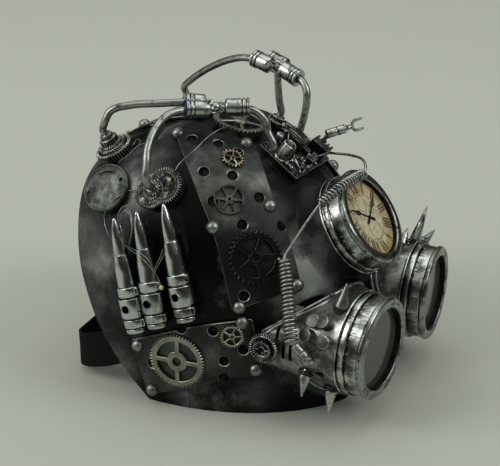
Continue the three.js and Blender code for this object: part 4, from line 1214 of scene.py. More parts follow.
# Silver dust and painted sheen on the plates: centre, reach and strength.
PLATE_DUST_AND_SHEEN = [
    ((-59.1, 16.4, 133.2), 8, 0.42), ((-34.4, -9.6, 132), 8, 0.44), ((-46, 2, 133), 9, 0.22),
    ((-62, 0.5, 118.7), 7, 0.28), ((-44, 8, 138), 24, 0.08), ((-50, -30, 92), 8, 0.2),
    ((-83, 20, 33), 30, 0.20),
]
HOLE_RADIUS = 3.1
PIT_TOP = 0.7
NOTCH_PIT_TOP = 0.3
PLATE_CORNER = 1.6
PLATE_GRID = 3.0
RIVET_SINK = 0.2


def plate_stock(patch, holes, notches=(), low=PLATE_LOW):
    outline = patch.outline(PLATE_CORNER)
    for point in notches:
        outline = bitten(outline, patch.hole(point, HOLE_RADIUS))
    loops = [outline] + [patch.hole(point, HOLE_RADIUS) for point in holes]
    return Stock().add(sheet(loops, PLATE_TOP, low, PLATE_CHAMFER, patch.lay, PLATE_GRID))


def build_plates(sizes):
    band = plate_stock(Patch(BAND_REAR, BAND_FRONT), BAND_HOLES, BAND_NOTCHES)
    cheek = plate_stock(Patch(CHEEK_LOW, CHEEK_TOP), CHEEK_HOLES, CHEEK_NOTCHES)
    for name, stock in (("side_band", band), ("cheek_plate", cheek)):
        right = stock.piece(name + "_sheet_right", "brushed_plate", spots=PLATE_DUST_AND_SHEEN)
        settle(right, "plate", name + "_right")
        spots = [(mirrored(centre), reach, strength) for centre, reach, strength in PLATE_DUST_AND_SHEEN]
        left = stock.other_side().piece(name + "_sheet_left", "brushed_plate", spots=spots)
        settle(left, "plate", name + "_left")
    crown = plate_stock(Patch(CROWN_EDGE, [mirrored(p) for p in CROWN_EDGE]), [], (), 0.8)
    crown.fasten("crown_sheet", "brushed_plate", "plate", "crown_plate")
    # Black discs at the bottom of the holes and notches: painted shade.
    shade_discs = Stock()
    for point in BAND_HOLES + CHEEK_HOLES:
        shade_discs.add(rod(HOLE_RADIUS + 0.5, -0.3, PIT_TOP, 28, 0.1), aim(*seat_one(point)))
    for point in BAND_NOTCHES + CHEEK_NOTCHES:
        shade_discs.add(rod(HOLE_RADIUS - 0.1, -0.3, NOTCH_PIT_TOP, 28, 0.1), aim(*seat_one(point)))
    shade_discs.fasten("hole_shade_discs_right", "pit_black", "black_plastic")
    shade_discs.other_side().fasten("hole_shade_discs_left", "pit_black", "black_plastic")
    right = BAND_RIVETS + CHEEK_RIVETS
    places, normals = seat(np.vstack([right, mirrored(right), CROWN_RIVETS]))
    rivets = rivet_domes("plate_rivets", places + normals * (PLATE_TOP - RIVET_SINK), normals, sizes)
    settle(rivets, "chrome")


# Goggles
BASE_EDGE = [
    (-66.4, -25.7, 54.5), (-57.3, -35.8, 60.6), (-41.7, -47.4, 66.6), (-30.9, -52.6, 69.1),
    (-19.4, -56.3, 70.5),
    (-10.3, -58.2, 69.5), (-7, -62, 58), (-8, -66, 42), (-16, -66, 22), (-30, -60, 11), (-43.2, -52.7, 8.5),
    (-55.4, -41.9, 20.4), (-60.6, -36, 26), (-64.8, -30.2, 31.7), (-68.2, -25.2, 38), (-68.6, -23, 47),
]
RIDGE_EDGE = [*BASE_EDGE[:5], (-11, -58.4, 70.5), (-6.5, -60.2, 66.5), (-5.5, -62.5, 60), (-6.5, -65, 50)]
RIDGE_GAP = 3.4
RIDGE_RADIUS = 1.05
BASE_LIFT = 2.2
BASE_SINK = 7.0
BASE_FRONT = 16.7
BASE_FRONT_RADIUS = 30.2
STUD_RADIUS = 3.9
STUD_HEIGHT = 5.0
BASE_STUDS = [
    ((-66.4, -58, 67.5), (-0.75, 0.06, 0.66)), ((-66.8, -65.4, 67.8), (-0.72, 0.3, 0.69)),
    ((-71.2, -57, 60.8), (-0.92, 0.3, 0.39)), ((-70.6, -68.7, 58.9), (-0.93, 0.2, 0.36)),
]
LEFT_STUDS = (0, 2, 3)
BASE_RIVET = (-75.6, -57.6, 46.4)
BASE_RIVET_LIFT = 1.4
BASE_SLOTS = [(-69, -36.9, 56), (-71.5, -41.9, 47.3), (-71.7, -46.4, 47.1)]
TEARDROP = ((-70.9, -64.1, 38), (-0.93, 0.02, -0.36))
SLOT_SIZE = (12.0, 2.0, 10.0)


def hull_body(points):
    """The convex hull of points as a closed body, with the shell's silver dust and painted highlights."""
    bm = bmesh.new()
    for p in points:
        bm.verts.new(p)
    hull = bmesh.ops.convex_hull(bm, input=bm.verts)
    bmesh.ops.delete(bm, geom=list({*hull["geom_interior"], *hull["geom_unused"]}), context="VERTS")
    bmesh.ops.recalc_face_normals(bm, faces=bm.faces)
    bm.verts.index_update()
    faces = [[v.index for v in f.verts] for f in bm.faces]
    corners = np.array([v.co[:] for v in bm.verts])
    bm.free()
    return corners, faces, sheen(corners)


def base_piece():
    """Moulded base of the right goggle: a hull from the back of the round cup to its outline on the shell."""
    on, normal = seat(evenly([*BASE_EDGE, BASE_EDGE[0]], 120)[:-1])
    axis = unit(GOGGLE_AXIS)
    front = aim(GOGGLE_POINT - axis * BASE_FRONT, axis)(flat(circle(BASE_FRONT_RADIUS, count=96), 0))
    body = hull_body(np.vstack([front, on + normal * BASE_LIFT, on - normal * BASE_SINK]))
    return Stock().add(body).piece("goggle_base_moulding_right", "cast_base_paint")


def nearest_on(piece, points):
    """The places on a piece nearest to points in mask millimetres, with its normals there."""
    tree = BVHTree.FromPolygons([v.co for v in piece.data.vertices],
                                [p.vertices for p in piece.data.polygons])
    found = [tree.find_nearest(Vector(p)) for p in to_frame(points)]
    places = np.array([place[:] for place, _, _, _ in found])
    return (places - MASK_ORIGIN) / MM, np.array([normal[:] for _, normal, _, _ in found])


def flipped(piece, name):
    """A copy of a piece on the other side of the mask."""
    mesh = piece.data.copy()
    mesh.transform(Matrix.Translation(MASK_ORIGIN) @ Matrix.Diagonal((-1, 1, 1,
        1)) @ Matrix.Translation(-MASK_ORIGIN))
    mesh.flip_normals()
    twin = bpy.data.objects.new(name, mesh)
    bpy.context.scene.collection.objects.link(twin)
    return twin


def build_goggle_bases(sizes):
    base = base_piece()
    carved(base, form_solid(SEAT_GAP), eye_rod(EYE_BORE, -CUP_BEZEL_DEPTH))
    axis = unit(GOGGLE_AXIS)
    cup_ring = aim(GOGGLE_POINT - axis * BASE_FRONT, axis)(flat(circle(BASE_FRONT_RADIUS, count=180), 0))
    upper = raised(evenly(RIDGE_EDGE, 70), BASE_LIFT - 0.2)
    toward = np.array([cup_ring[np.argmin(np.linalg.norm(cup_ring - p, axis=1))] for p in upper]) - upper
    lower, _ = nearest_on(base, upper + unit(toward) * RIDGE_GAP)
    ridges = grown("goggle_base_ridges_right", tube_tree, [upper, lower], {
        "Radius": RIDGE_RADIUS * MM, "Sides": 14, "Material": finish("satin_hose"),
    })
    slots = Stock()
    for x, y, z in BASE_SLOTS:
        slots.add(sheet([rounded_box(SLOT_SIZE[1], SLOT_SIZE[2], 0.6)], SLOT_SIZE[0] / 2, -SLOT_SIZE[0] / 2,
                        0.05),
                  basis((x, y, z), (0, 1, 0), (0, 0, 1)))
    drop = np.vstack([circle(2.0, (0, -1.2), 16, math.pi, 2 * math.pi), [(0, 3.6)]])
    slots.add(sheet([drop], 5, -3.5, 0.05), aim(*TEARDROP))
    carved(base, slots.piece("slots", "pit_black"))
    settle(base, "cast_base", "goggle_base_right")
    settle(flipped(base, "goggle_base_moulding_left"), "cast_base", "goggle_base_left")
    settle(ridges, "chrome")
    settle(flipped(ridges, "goggle_base_ridges_left"), "chrome")
    r, h = STUD_RADIUS, STUD_HEIGHT
    head = turned([
        (0, -4), (r * 0.86, -4, 0.6), (r * 0.92, h - 1.6, 0.6), (r, h - 1.2, 0.6), (r, h - 0.3),
        (r * 0.94, h, -0.6),
        (0, h + 0.25),
    ], 32, 0.25)
    studs, fewer = Stock(), Stock()
    feet, _ = nearest_on(base, [point for point, _ in BASE_STUDS])
    for number, (foot, (_, axis)) in enumerate(zip(feet, BASE_STUDS)):
        studs.add(head, aim(foot, axis))
        if number in LEFT_STUDS:
            fewer.add(head, aim(foot, axis))
    studs.fasten("goggle_base_studs", "cast_base_paint", "cast_base")
    fewer.other_side().fasten("goggle_base_studs_left", "cast_base_paint", "cast_base")
    places, normals = nearest_on(base, [BASE_RIVET])
    lifted = places + normals * BASE_RIVET_LIFT
    heads, facing = (np.vstack([rows, mirrored(rows)]) for rows in (lifted, normals))
    settle(rivet_domes("goggle_base_rivets", heads, facing, sizes), "chrome")


def cup_body(skirt):
    rows = [(CUP_SLEEVE, -CUP_BACK - skirt, -1)]
    if skirt:
        rows += [(CUP_SKIRT, -CUP_BACK - skirt), (CUP_SKIRT, -CUP_BACK)]
    rows += [(radius, -depth) for radius, depth in CUP_PROFILE]
    rows += [(CUP_SLEEVE, -CUP_FRONT, -1), (CUP_SLEEVE, -CUP_BACK - skirt, -1)]
    return turned(rows, CUP_SEGMENTS, 0.35)


def cup_bezel(lip):
    return turned([
        (CUP_OPENING, -lip), (CUP_RECESS, -lip), (CUP_RECESS, -3.05), (CUP_BEZEL - 0.4, -3.05),
        (CUP_BEZEL, -2.6), (CUP_BEZEL, -1.7), (CUP_BEZEL - 0.7, -0.5), (CUP_BEZEL - 2.2, 0),
        (CUP_OPENING + 0.8, 0),
        # The wall of the opening is marked darkest: painted shade inside the lip.
        (CUP_OPENING, -0.6, -1), (CUP_OPENING, -lip, -1),
    ], CUP_SEGMENTS, 0.6)


def cup_lining(lip):
    """Black ring lining the opening: painted shade inside the bezel's lip."""
    r = CUP_OPENING
    return turned([(r - 0.4, -lip), (r + 0.1, -lip), (r + 0.1, -0.9), (r - 0.4, -0.9), (r - 0.4, -lip)],
                  CUP_SEGMENTS, 0.1)


def cup_pane(dome, depth):
    top = -depth
    return turned([
        (0, top - PANE_WALL), (PANE_RADIUS, top - PANE_WALL), (PANE_RADIUS, top), (18, top + dome * 0.4),
        (9, top + dome * 0.85), (0, top + dome),
    ], CUP_SEGMENTS, 0.2)


def clock_fillet():
    """Hollow curve of the shell up to the clock's flange, closed by a bore and a sunk underside."""
    axis = unit(CLOCK_AXIS)

    def round_ring(radius, depth):
        return aim(CLOCK_POINT - axis * depth, axis)(flat(circle(radius, count=CUP_SEGMENTS), 0))

    top, bore = (round_ring(radius, CUP_BACK + 0.1) for radius in (CLOCK_SEAT_TOP, CUP_SKIRT + 0.2))
    sunk = raised(round_ring(CUP_SKIRT + 0.2, CUP_BACK + CLOCK_SEAT_DROP), -1.2)
    under = raised(round_ring(CLOCK_SEAT_TOP + 1, CUP_BACK + CLOCK_SEAT_DROP), 0)
    foot = raised(round_ring(CLOCK_SEAT_FOOT, CUP_BACK + CLOCK_SEAT_DROP), -0.4)
    buried = raised(round_ring(CLOCK_SEAT_FOOT, CUP_BACK + CLOCK_SEAT_DROP), -1.2)
    top, bore = (np.where(form_level(row)[:, None] < 1, raised(row, -0.3), row) for row in (top, bore))
    inward = under - foot
    upright = seat(foot)[1]
    under = foot + inward - upright * np.sum(inward * upright, axis=1, keepdims=True)
    rows = [sunk, bore, top]
    for t in np.linspace(0, 1, 13)[1:]:
        rows.append((1 - t) ** 2 * top + 2 * t * (1 - t) * under + t * t * foot)
    rows.append(buried)
    points = np.vstack(rows)
    faces = []
    for i in range(len(rows)):
        low, high = i * CUP_SEGMENTS, (i + 1) % len(rows) * CUP_SEGMENTS
        for k in range(CUP_SEGMENTS):
            n = (k + 1) % CUP_SEGMENTS
            faces.append([low + k, high + k, high + n, low + n])
    # Its wear is the shell's silver dust and painted highlights.
    return points, faces, sheen(points)


def build_cups():
    lip = LENS_DEPTH - 0.15
    for side, sign in (("right", 1), ("left", -1)):
        place = aim(GOGGLE_POINT * (sign, 1, 1), GOGGLE_AXIS * (sign, 1, 1))
        for kind, body, slot, look in (
            ("cup", cup_body(0), "chrome", "cup_paint"), ("bezel", cup_bezel(lip), "chrome", "bezel_paint"),
            ("lens", cup_pane(0.15, LENS_DEPTH), "smoke_glass", "smoked_acrylic"),
        ):
            Stock().add(body, place).fasten(f"turned_{kind}_{side}", look, slot, f"goggle_{kind}_{side}")
        Stock().add(cup_lining(lip), place).fasten(f"lens_shade_ring_{side}", "pit_black", "black_plastic")
    place = aim(CLOCK_POINT, CLOCK_AXIS)
    cup = Stock().add(cup_body(CLOCK_SKIRT), place).piece("clock_case", "cup_paint", spots=CLOCK_PAINTED_LIGHT)
    settle(carved(cup, form_solid(SEAT_GAP)), "chrome", "clock_cup")
    Stock().add(clock_fillet()).fasten("clock_seat", "gunmetal_paint", "gunmetal")
    lip = DIAL_DEPTH - 0.15
    Stock().add(cup_bezel(lip), place).fasten("clock_rim", "bezel_paint", "chrome", "clock_bezel")
    Stock().add(cup_lining(lip), place).fasten("clock_shade_ring", "pit_black", "black_plastic")


# Clock dial
NUMERALS = ["XII", "I", "II", "III", "IIII", "V", "VI", "VII", "VIII", "IX", "X", "XI"]
NUMERAL_OUTER = 22.4
NUMERAL_HEIGHT = 7.0
NUMERAL_THICK = 1.15
NUMERAL_THIN = 0.55
LETTER_WIDTH = {"I": 1.8, "V": 4.2, "X": 4.2}
INK_TOP = 0.16
INK_LOW = -0.2
INK_CHAMFER = 0.02
NUMERAL_WIDEST = 8.0
TICK_FROM = 23.0
TICK_TO = 23.9
RING_LINE = 0.28
PRINTED_RINGS = [(14.6, (0, 0)), (6.4, (0.5, -8)), (5.2, (-0.5, 9.3)), (2.4, (-6.5, 2.5)), (2.4, (7, 3))]

# Hands of the clock: angle from twelve in degrees, length and height above the dial
HANDS = [(-56.0, 17.2, 0.35), (62.0, 18.4, 0.75)]
HAND_TAIL = 5.2
HAND_WALL = 0.3


def stroke(a, b, thick_a, thick_b=None):
    """A flat bar from a to b with its own width at either end."""
    a, b = np.asarray(a, float), np.asarray(b, float)
    along = unit(b - a)
    left = np.array([-along[1], along[0]])
    wide_a = thick_a / 2
    wide_b = (thick_a if thick_b is None else thick_b) / 2
    return np.stack([a - left * wide_a, b - left * wide_b, b + left * wide_b, a + left * wide_a])


def letter(kind, left, height):
    """Strokes of one Roman letter whose foot stands at the origin's height."""
    wide = LETTER_WIDTH[kind]
    middle, right = left + wide / 2, left + wide
    thick, thin = NUMERAL_THICK, NUMERAL_THIN
    inset_x = thick / 2 + 0.15
    if kind == "I":
        return [stroke((middle, 0), (middle, height), thick),
                stroke((middle - 0.75, 0.15), (middle + 0.75, 0.15), 0.3),
                stroke((middle - 0.75, height - 0.15), (middle + 0.75, height - 0.15), 0.3)]
    if kind == "V":
        return [stroke((left + inset_x, height), (middle, 0), thick, thin),
                stroke((right - inset_x, height), (middle, 0), thin)]
    return [stroke((left + inset_x, height), (right - inset_x, 0), thick),
            stroke((right - inset_x, height), (left + inset_x, 0), thin)]


def clock_turn(degrees):
    """Turns flat points clockwise from twelve o'clock."""
    angle = -math.radians(degrees)
    matrix = np.array([[math.cos(angle), -math.sin(angle)], [math.sin(angle), math.cos(angle)]])
    return lambda points: np.asarray(points) @ matrix.T


def hand_loops(length, tail):
    """A pierced hand pointing to twelve, with a tapered tail."""
    spade = length * 0.62
    outline = [
        (-0.45, 1.0), (-0.4, spade - 2.6), (-1.7, spade), (-0.55, spade + 2.8), (-0.35, length - 2),
        (0, length),
        (0.35, length - 2), (0.55, spade + 2.8), (1.7, spade), (0.4, spade - 2.6), (0.45, 1.0), (1.1, 0),
        (0.6, -1.2), (0.95, -tail), (0, -tail - 1.2), (-0.95, -tail), (-0.6, -1.2), (-1.1, 0),
    ]
    eye = [(0, spade - 1.2), (0.75, spade + 0.2), (0, spade + 1.7), (-0.75, spade + 0.2)]
    return [np.array(outline), np.array(eye)]


def build_dial():
    face = aim(CLOCK_POINT - unit(CLOCK_AXIS) * DIAL_DEPTH, CLOCK_AXIS)
    disc = Stock().add(cup_pane(0.0, DIAL_DEPTH), aim(CLOCK_POINT, CLOCK_AXIS))
    disc.fasten("paper_dial", "foxed_paper", "dial", "clock_dial")
    ink = Stock()
    for hour, text in enumerate(NUMERALS):
        wide = sum(LETTER_WIDTH[kind] for kind in text)
        squeeze = min(1.0, NUMERAL_WIDEST / wide)
        left = -wide / 2
        for kind in text:
            for loop in letter(kind, left, NUMERAL_HEIGHT):
                loop = loop * (squeeze, 1) + (0, NUMERAL_OUTER - NUMERAL_HEIGHT)
                ink.add(sheet([clock_turn(30 * hour)(loop)], INK_TOP, INK_LOW, INK_CHAMFER), face)
            left += LETTER_WIDTH[kind]
    for minute in range(60):
        tick = stroke((0, TICK_FROM), (0, TICK_TO), 0.55 if minute % 5 else 0.9)
        ink.add(sheet([clock_turn(6 * minute)(tick)], INK_TOP, INK_LOW, INK_CHAMFER), face)
    for radius, centre in PRINTED_RINGS:
        loops = [circle(radius, centre, 64), circle(radius - RING_LINE, centre, 64)]
        ink.add(sheet(loops, INK_TOP * 0.6, INK_LOW, INK_CHAMFER), face)
    ink.fasten("dial_print", "faded_ink", "dial")
    hands = Stock()
    for angle, length, low in HANDS:
        loops = [clock_turn(angle)(loop) for loop in hand_loops(length, HAND_TAIL)]
        hands.add(sheet(loops, low + HAND_WALL, low, 0.06), face)
    hands.add(rod(1.0, -0.3, 1.4, 24, 0.25), face)
    hands.fasten("clock_hands", "blackened_gear", "dark_gear")


# Spikes
SPIKES = {
    "spike_right_top": ((-56.7, -70.2, 73.6), (0.12, -0.15, 0.98), 15.5),
    "spike_right_low_rear": ((-71.2, -55.6, 35.6), (-0.5, -0.05, -0.86), 13.5),
    "spike_right_low_front": ((-63.6, -68.5, 26.5), (-0.43, -0.1, -0.9), 14),
    "spike_left_tall": ((52, -72.3, 77.5), (0.46, -0.14, 0.88), 24.5),
    "spike_left_side": ((64.5, -73, 72), (0.88, -0.26, 0.4), 16),
    "spike_left_small": ((49, -63.5, 78), (0.467, -0.169, 0.858), 12),
}
SPIKE_RADIUS = 3.7
WASHER_RADIUS = 4.3
WASHER_HEIGHTS = (-0.9, 0.55)
SPIKE_WIRE = 0.7


def build_spikes():
    washers = Stock()
    bases = {side: bpy.data.objects["goggle_base_moulding_" + side] for side in ("right", "left")}
    for name, (foot, axis, length) in SPIKES.items():
        feet, _ = nearest_on(bases[name.split("_")[1]], [foot])
        place = aim(feet[0], axis)
        dark = name == "spike_right_top"
        radius = SPIKE_RADIUS + 0.6 * dark
        cone = turned([
            (0, -2), (radius * 0.6, -2), (radius * 0.6, 1.5), (radius, 1.7), (radius, 2.2), (0.35, length),
            (0, length + 0.1),
        ], 40, 0.25)
        paint = "cast_base_paint" if dark else "chromed_plastic"
        Stock().add(cone, place).fasten(name + "_cone", paint, "chrome", name)
        for low in WASHER_HEIGHTS:
            washers.add(turned([
                (0, low - 0.4), (WASHER_RADIUS, low - 0.4), (WASHER_RADIUS, low + 0.75), (0, low + 0.75),
            ], 32, 0.35), place)
    washers.fasten("spike_washers", "moulded_black", "black_plastic")
    rear, front = (np.array(SPIKES["spike_right_low_" + end][0]) for end in ("rear", "front"))
    route = [rear - (1, 0, 1), (rear + front) / 2 + (-1.5, 0, -1.8), front - (1, 0, 1)]
    settle(tube("spike_wire", [route], SPIKE_WIRE * MM, finish("satin_hose"), 10, 0.8), "chrome")


# Gears
GEAR_WALL = 1.2
TOOTH_WEAR = (-0.6, 0.9, -0.6, -1.0)
GEAR_LOW = PLATE_TOP + SEAT_GAP
GEARS = {
    "cheek_gear_large": dict(
        at=(-84.3, 19.3, 33.2), teeth=54, radius=17.1, tooth=1.25, shaft=2.9, spokes=4, rim=13.0, hub=6.3,
        spoke=2.6, roll=8, slot="nickel", material="nickel_plate"),
    "cheek_gear_small": dict(
        at=(-74.7, -11, 52), teeth=26, radius=7.0, tooth=0.8, shaft=0.8, spokes=5, rim=5.1, hub=2.0,
        spoke=0.9,
        roll=10, slot="nickel", material="nickel_plate"),
    "band_gear_small": dict(
        at=(-38.8, 8.9, 142.3), teeth=18, radius=6.9, tooth=1.2, shaft=0.8, spokes=5, rim=4.7, hub=1.6,
        spoke=1.0,
        roll=30, slot="brass", material="old_brass"),
    "band_gear_mid": dict(
        at=(-56.7, 1, 125.3), teeth=60, radius=9.0, tooth=0.3, shaft=0.9, spokes=6, rim=7.8, hub=2.6,
        spoke=1.5,
        roll=0, slot="dark_gear", material="dull_nickel"),
    "band_gear_large": dict(
        at=(-61, -18, 96), teeth=30, radius=15.6, tooth=1.5, shaft=2.2, spokes=5, rim=11.2, hub=4.4,
        spoke=3.2,
        roll=20, slot="dark_gear", material="blackened_gear"),
}
CROWN_GEAR = dict(at=(-4, 23, 154), teeth=40, radius=16.8, tooth=1.5, shaft=1.2, spokes=5, rim=13.0, hub=4.6,
                  spoke=2.2)
CROWN_GEAR_LOW = 2.7
CROWN_BOSS = 4.0
CROWN_BOSS_TOP = 4.6


def gear_loop(radius, tooth, teeth):
    """Outline of a wheel with flat topped teeth."""
    pitch = 2 * math.pi / teeth
    shares = ((-0.31, 0), (-0.15, 1), (0.15, 1), (0.31, 0))
    angles = np.array([(i + share) * pitch for i in range(teeth) for share, _ in shares])
    radii = np.array([radius - tooth * (1 - tip) for _ in range(teeth) for _, tip in shares])
    return np.stack([radii * np.cos(angles), radii * np.sin(angles)], axis=1)


def window_loops(spokes, rim, hub, spoke):
    """Openings between the spokes of a wheel."""
    loops = []
    for i in range(spokes):
        middle = 2 * math.pi * (i + 0.5) / spokes
        far = math.pi / spokes - math.asin(spoke / 2 / rim)
        near = math.pi / spokes - math.asin(spoke / 2 / hub)
        loops.append(np.vstack([
            circle(rim, count=12, start=middle - far, end=middle + far),
            circle(hub, count=6, start=middle - near, end=middle + near)[::-1],
        ]))
    return loops


def gear_body(g, low, wall=GEAR_WALL, chamfer=0.22):
    loops = [gear_loop(g["radius"], g["tooth"], g["teeth"]), circle(g["shaft"], count=24)]
    loops += window_loops(g["spokes"], g["rim"], g["hub"], g["spoke"])
    return sheet(loops, low + wall, low, chamfer, walls=TOOTH_WEAR * g["teeth"])


def build_gears():
    for name, g in GEARS.items():
        point, normal = seat_one(g["at"])
        place = aim(point, normal, math.radians(g["roll"]))
        stock = Stock().add(gear_body(g, GEAR_LOW), place)
        collar = turned([
            (g["shaft"], GEAR_LOW - 0.3), (g["shaft"] * 1.5, GEAR_LOW - 0.3),
            (g["shaft"] * 1.5, GEAR_LOW + 1.5),
            (g["shaft"], GEAR_LOW + 1.5), (g["shaft"], GEAR_LOW - 0.3),
        ], 32, 0.2)
        stock.add(collar, place)
        stock.fasten(name + "_wheel", g["material"], g["slot"], name)
    point, normal = seat_one(CROWN_GEAR["at"])
    boss = turned([
        (0, -0.2), (CROWN_BOSS, -0.2), (CROWN_BOSS, CROWN_BOSS_TOP - 0.6), (CROWN_BOSS - 0.8, CROWN_BOSS_TOP),
        (0, CROWN_BOSS_TOP),
    ], 32, 0.3)
    crown = Stock().add(gear_body(CROWN_GEAR, CROWN_GEAR_LOW), aim(point, normal)).add(boss,
        aim(point, normal))
    crown.fasten("crown_gear_wheel", "nickel_plate", "nickel", "crown_gear")


# Gear stacks: tiers of radius, teeth, foot, top and sideways shift
PINION_POINT = (-75.2, -31.8, 48.6)
PINION_AXIS = (-1, -0.03, 0.04)
STACKS = {
    "gear_stack_side": dict(
        at=(-69, 39.5, 128), axis=(-0.83, -0.01, 0.56), top=11.0,
        tiers=[
            (11.0, 42, -0.6, 4.6, (0.3, -5.0, 3.6)), (10.6, 48, 4.5, 6.2, (-0.8, 2.2, -1.0)),
            (6.4, 34, 6.1, 7.3, (-0.5, 1.4, -0.7)), (4.9, 16, 7.2, 9.6, (0, 0, 0)),
        ]),
    "gear_stack_rear_right": dict(
        at=(-46, 84, 139), axis=(-0.42, 0.25, 0.87), top=15.5,
        tiers=[
            (11.9, 42, 0.9, 5.8, (0, 0, 0)), (9.0, 36, 5.7, 7.4, (0, 0, 0)), (7.2, 30, 7.3, 8.8, (0, 0, 0)),
            (5.7, 24, 8.7, 12.6, (0, 0, 0)),
        ]),
    "gear_stack_rear_left": dict(
        at=(40, 86, 139), axis=(0.3, 0.25, 0.92), top=14.0,
        tiers=[(11.6, 42, 0.9, 5.2, (0, 0, 0)), (8.6, 34, 5.1, 7.6, (0, 0, 0)),
               (5.8, 24, 7.5, 11.4, (0, 0, 0))]),
    "gear_stack_front": dict(
        at=(22, 11.5, 150), axis=None, top=7.6,
        tiers=[(6.6, 24, 2.6, 4.2, (0, 0, 0)), (4.8, 18, 4.1, 6.8, (0, 0, 0))]),
}
STACK_HUB = 3.2


def tier_body(radius, teeth, low, top):
    return sheet([gear_loop(radius, min(1.6, radius * 0.15), teeth)], top, low, 0.32,
                 walls=TOOTH_WEAR * teeth)


def stack_place(name):
    stack = STACKS[name]
    point, normal = seat_one(stack["at"])
    return point, unit(normal if stack["axis"] is None else stack["axis"])


def build_stacks():
    for name, stack in STACKS.items():
        point, axis = stack_place(name)
        place = aim(point, axis)
        foot = -1.0 if stack["axis"] is not None else PLATE_TOP
        top = stack["top"]
        whole = Stock().add(turned([
            (0, foot), (STACK_HUB + 0.8, foot), (STACK_HUB + 0.8, top - 3.4), (STACK_HUB, top - 3.0),
            (STACK_HUB + 0.7, top - 1.6), (STACK_HUB + 0.4, top - 0.6), (STACK_HUB - 0.4, top), (0, top),
        ], 32, 0.3), place)
        for radius, teeth, low, high, shift in stack["tiers"]:
            here = aim(point + shift, axis)
            whole.add(tier_body(radius, teeth, low, high), here)
            web = moved(ring(radius * 0.72, 0.35, 48, 8), 0, 0, high)
            whole.add((web[0], web[1], [0.5] * len(web[1])), here)
        whole.fasten(name + "_wheels", "rubbed_gear", "dark_gear", name)
    place = aim(PINION_POINT, PINION_AXIS)
    low_loops = [gear_loop(8.9, 1.3, 34), circle(6.2, count=48)]
    high_loops = [gear_loop(5.6, 0.9, 24), circle(1.1, count=20), *window_loops(4, 3.6, 2.2, 0.9)]
    pinion = Stock().add(sheet([gear_loop(7.6, 0.6, 36)], 0.9, 0.2, 0.15), place)
    pinion.add(sheet(low_loops, 1.9, 0.3, 0.3), place)
    pinion.add(rod(3.4, 0.5, 2.9, 32, 0.2), place)
    pinion.add(sheet(high_loops, 4.0, 2.7, 0.3), place)
    pinion.add(ring(1.5, 0.45, 24, 8), lambda p: place(p + (0, 0, 4.0)))
    pinion.fasten("cheek_pinion_wheels", "rubbed_gear", "dark_gear", "cheek_pinion")


# Round cap
CAP_AT = (-68.6, 74.4, 123.7)
CAP_RADIUS = 15.0
CAP_RIM = 3.8
CAP_FACE = 2.6
CAP_DOME = 1.3
CAP_ROLL = math.radians(-122)
CAP_HOLES = [(-6.8, -9.9), (4.5, 9.8)]
CAP_TILT = np.array([-0.719, -0.108, 0.608])
CAP_LIFT = 1.4
CAP_SKIRT = 8.0


def build_cap():
    point, normal = seat_one(CAP_AT)
    tilted = unit(normal + CAP_TILT)
    place = aim(point + normal * CAP_LIFT, tilted, CAP_ROLL)
    foot = Stock().add(turned([
        (0, -CAP_SKIRT), (CAP_RADIUS - 0.8, -CAP_SKIRT), (CAP_RADIUS - 0.8, 1.7), (0, 1.7, -1),
    ], 64, 0.2), place)
    foot = foot.piece("pewter_cap_foot", "cast_pewter")
    settle(carved(foot, form_solid(-0.2)), "pewter")
    stock = Stock()
    slot = np.vstack([
        circle(10.2, count=16, start=1.9, end=2.9), circle(9.4, count=16, start=1.9, end=2.9)[::-1],
    ])
    loops = [circle(CAP_RADIUS - 1.2, count=80), slot, *(circle(1.2, spot, 20) for spot in CAP_HOLES)]

    def domed(points, height):
        return flat(points, height + CAP_DOME * (1 - np.sum(points ** 2, axis=1) / CAP_RADIUS ** 2))

    stock.add(sheet(loops, CAP_FACE, 1.6, 0.2, domed, 1.5), place)
    stock.add(turned([
        (CAP_RADIUS - 2.2, 0), (CAP_RADIUS, 0), (CAP_RADIUS, CAP_RIM - 1.0), (CAP_RADIUS - 0.9, CAP_RIM),
        (CAP_RADIUS - 2.2, CAP_FACE - 0.2), (CAP_RADIUS - 2.2, 0),
    ], 80, 0.5), place)
    stock.fasten("pewter_cap", "cast_pewter", "pewter", "round_cap")


# Cartridges
CARTRIDGES = [
    ((-92.6, 42.4, 49.6), (-89.4, 58, 116.5)), ((-92.2, 28.1, 55.7), (-88.3, 43, 122.3)),
    ((-89.6, 10.3, 62.5), (-85, 26.7, 127.4)),
]
CARTRIDGE_PROFILE = [
    (0, 0), (6.2, 0), (6.2, 2.4, -1), (4.9, 2.7, -1), (4.9, 3.2, -1), (6.7, 3.4), (6.7, 8.0, -1),
    (5.5, 8.3, -1),
    (5.5, 9.2, -1), (7.1, 9.4), (7.1, 20.8, -1), (5.5, 21.0, -1), (5.5, 21.8, -1), (6.6, 22.0), (6.6, 27.4),
    (5.6, 27.6), (5.45, 36.5),
    (5.2, 39.5), (4.75, 42.6), (4.3, 45.4), (4.1, 46.6), (3.9, 46.75, -1), (3.9, 47.0, -1), (3.95, 47.2),
    (3.7, 52.5),
    (3.1, 58.0), (2.1, 63.4),
    (1.0, 67.0), (0.5, 67.8), (0, 68),
]
SLEEVE_HOLE_HEIGHT = 15.2
SLEEVE_HOLE_RADIUS = 2.4
LINK_HEIGHTS = (5.7, 24.7)
LINK_AHEAD = 6.4
LINK_OUT = 1.5


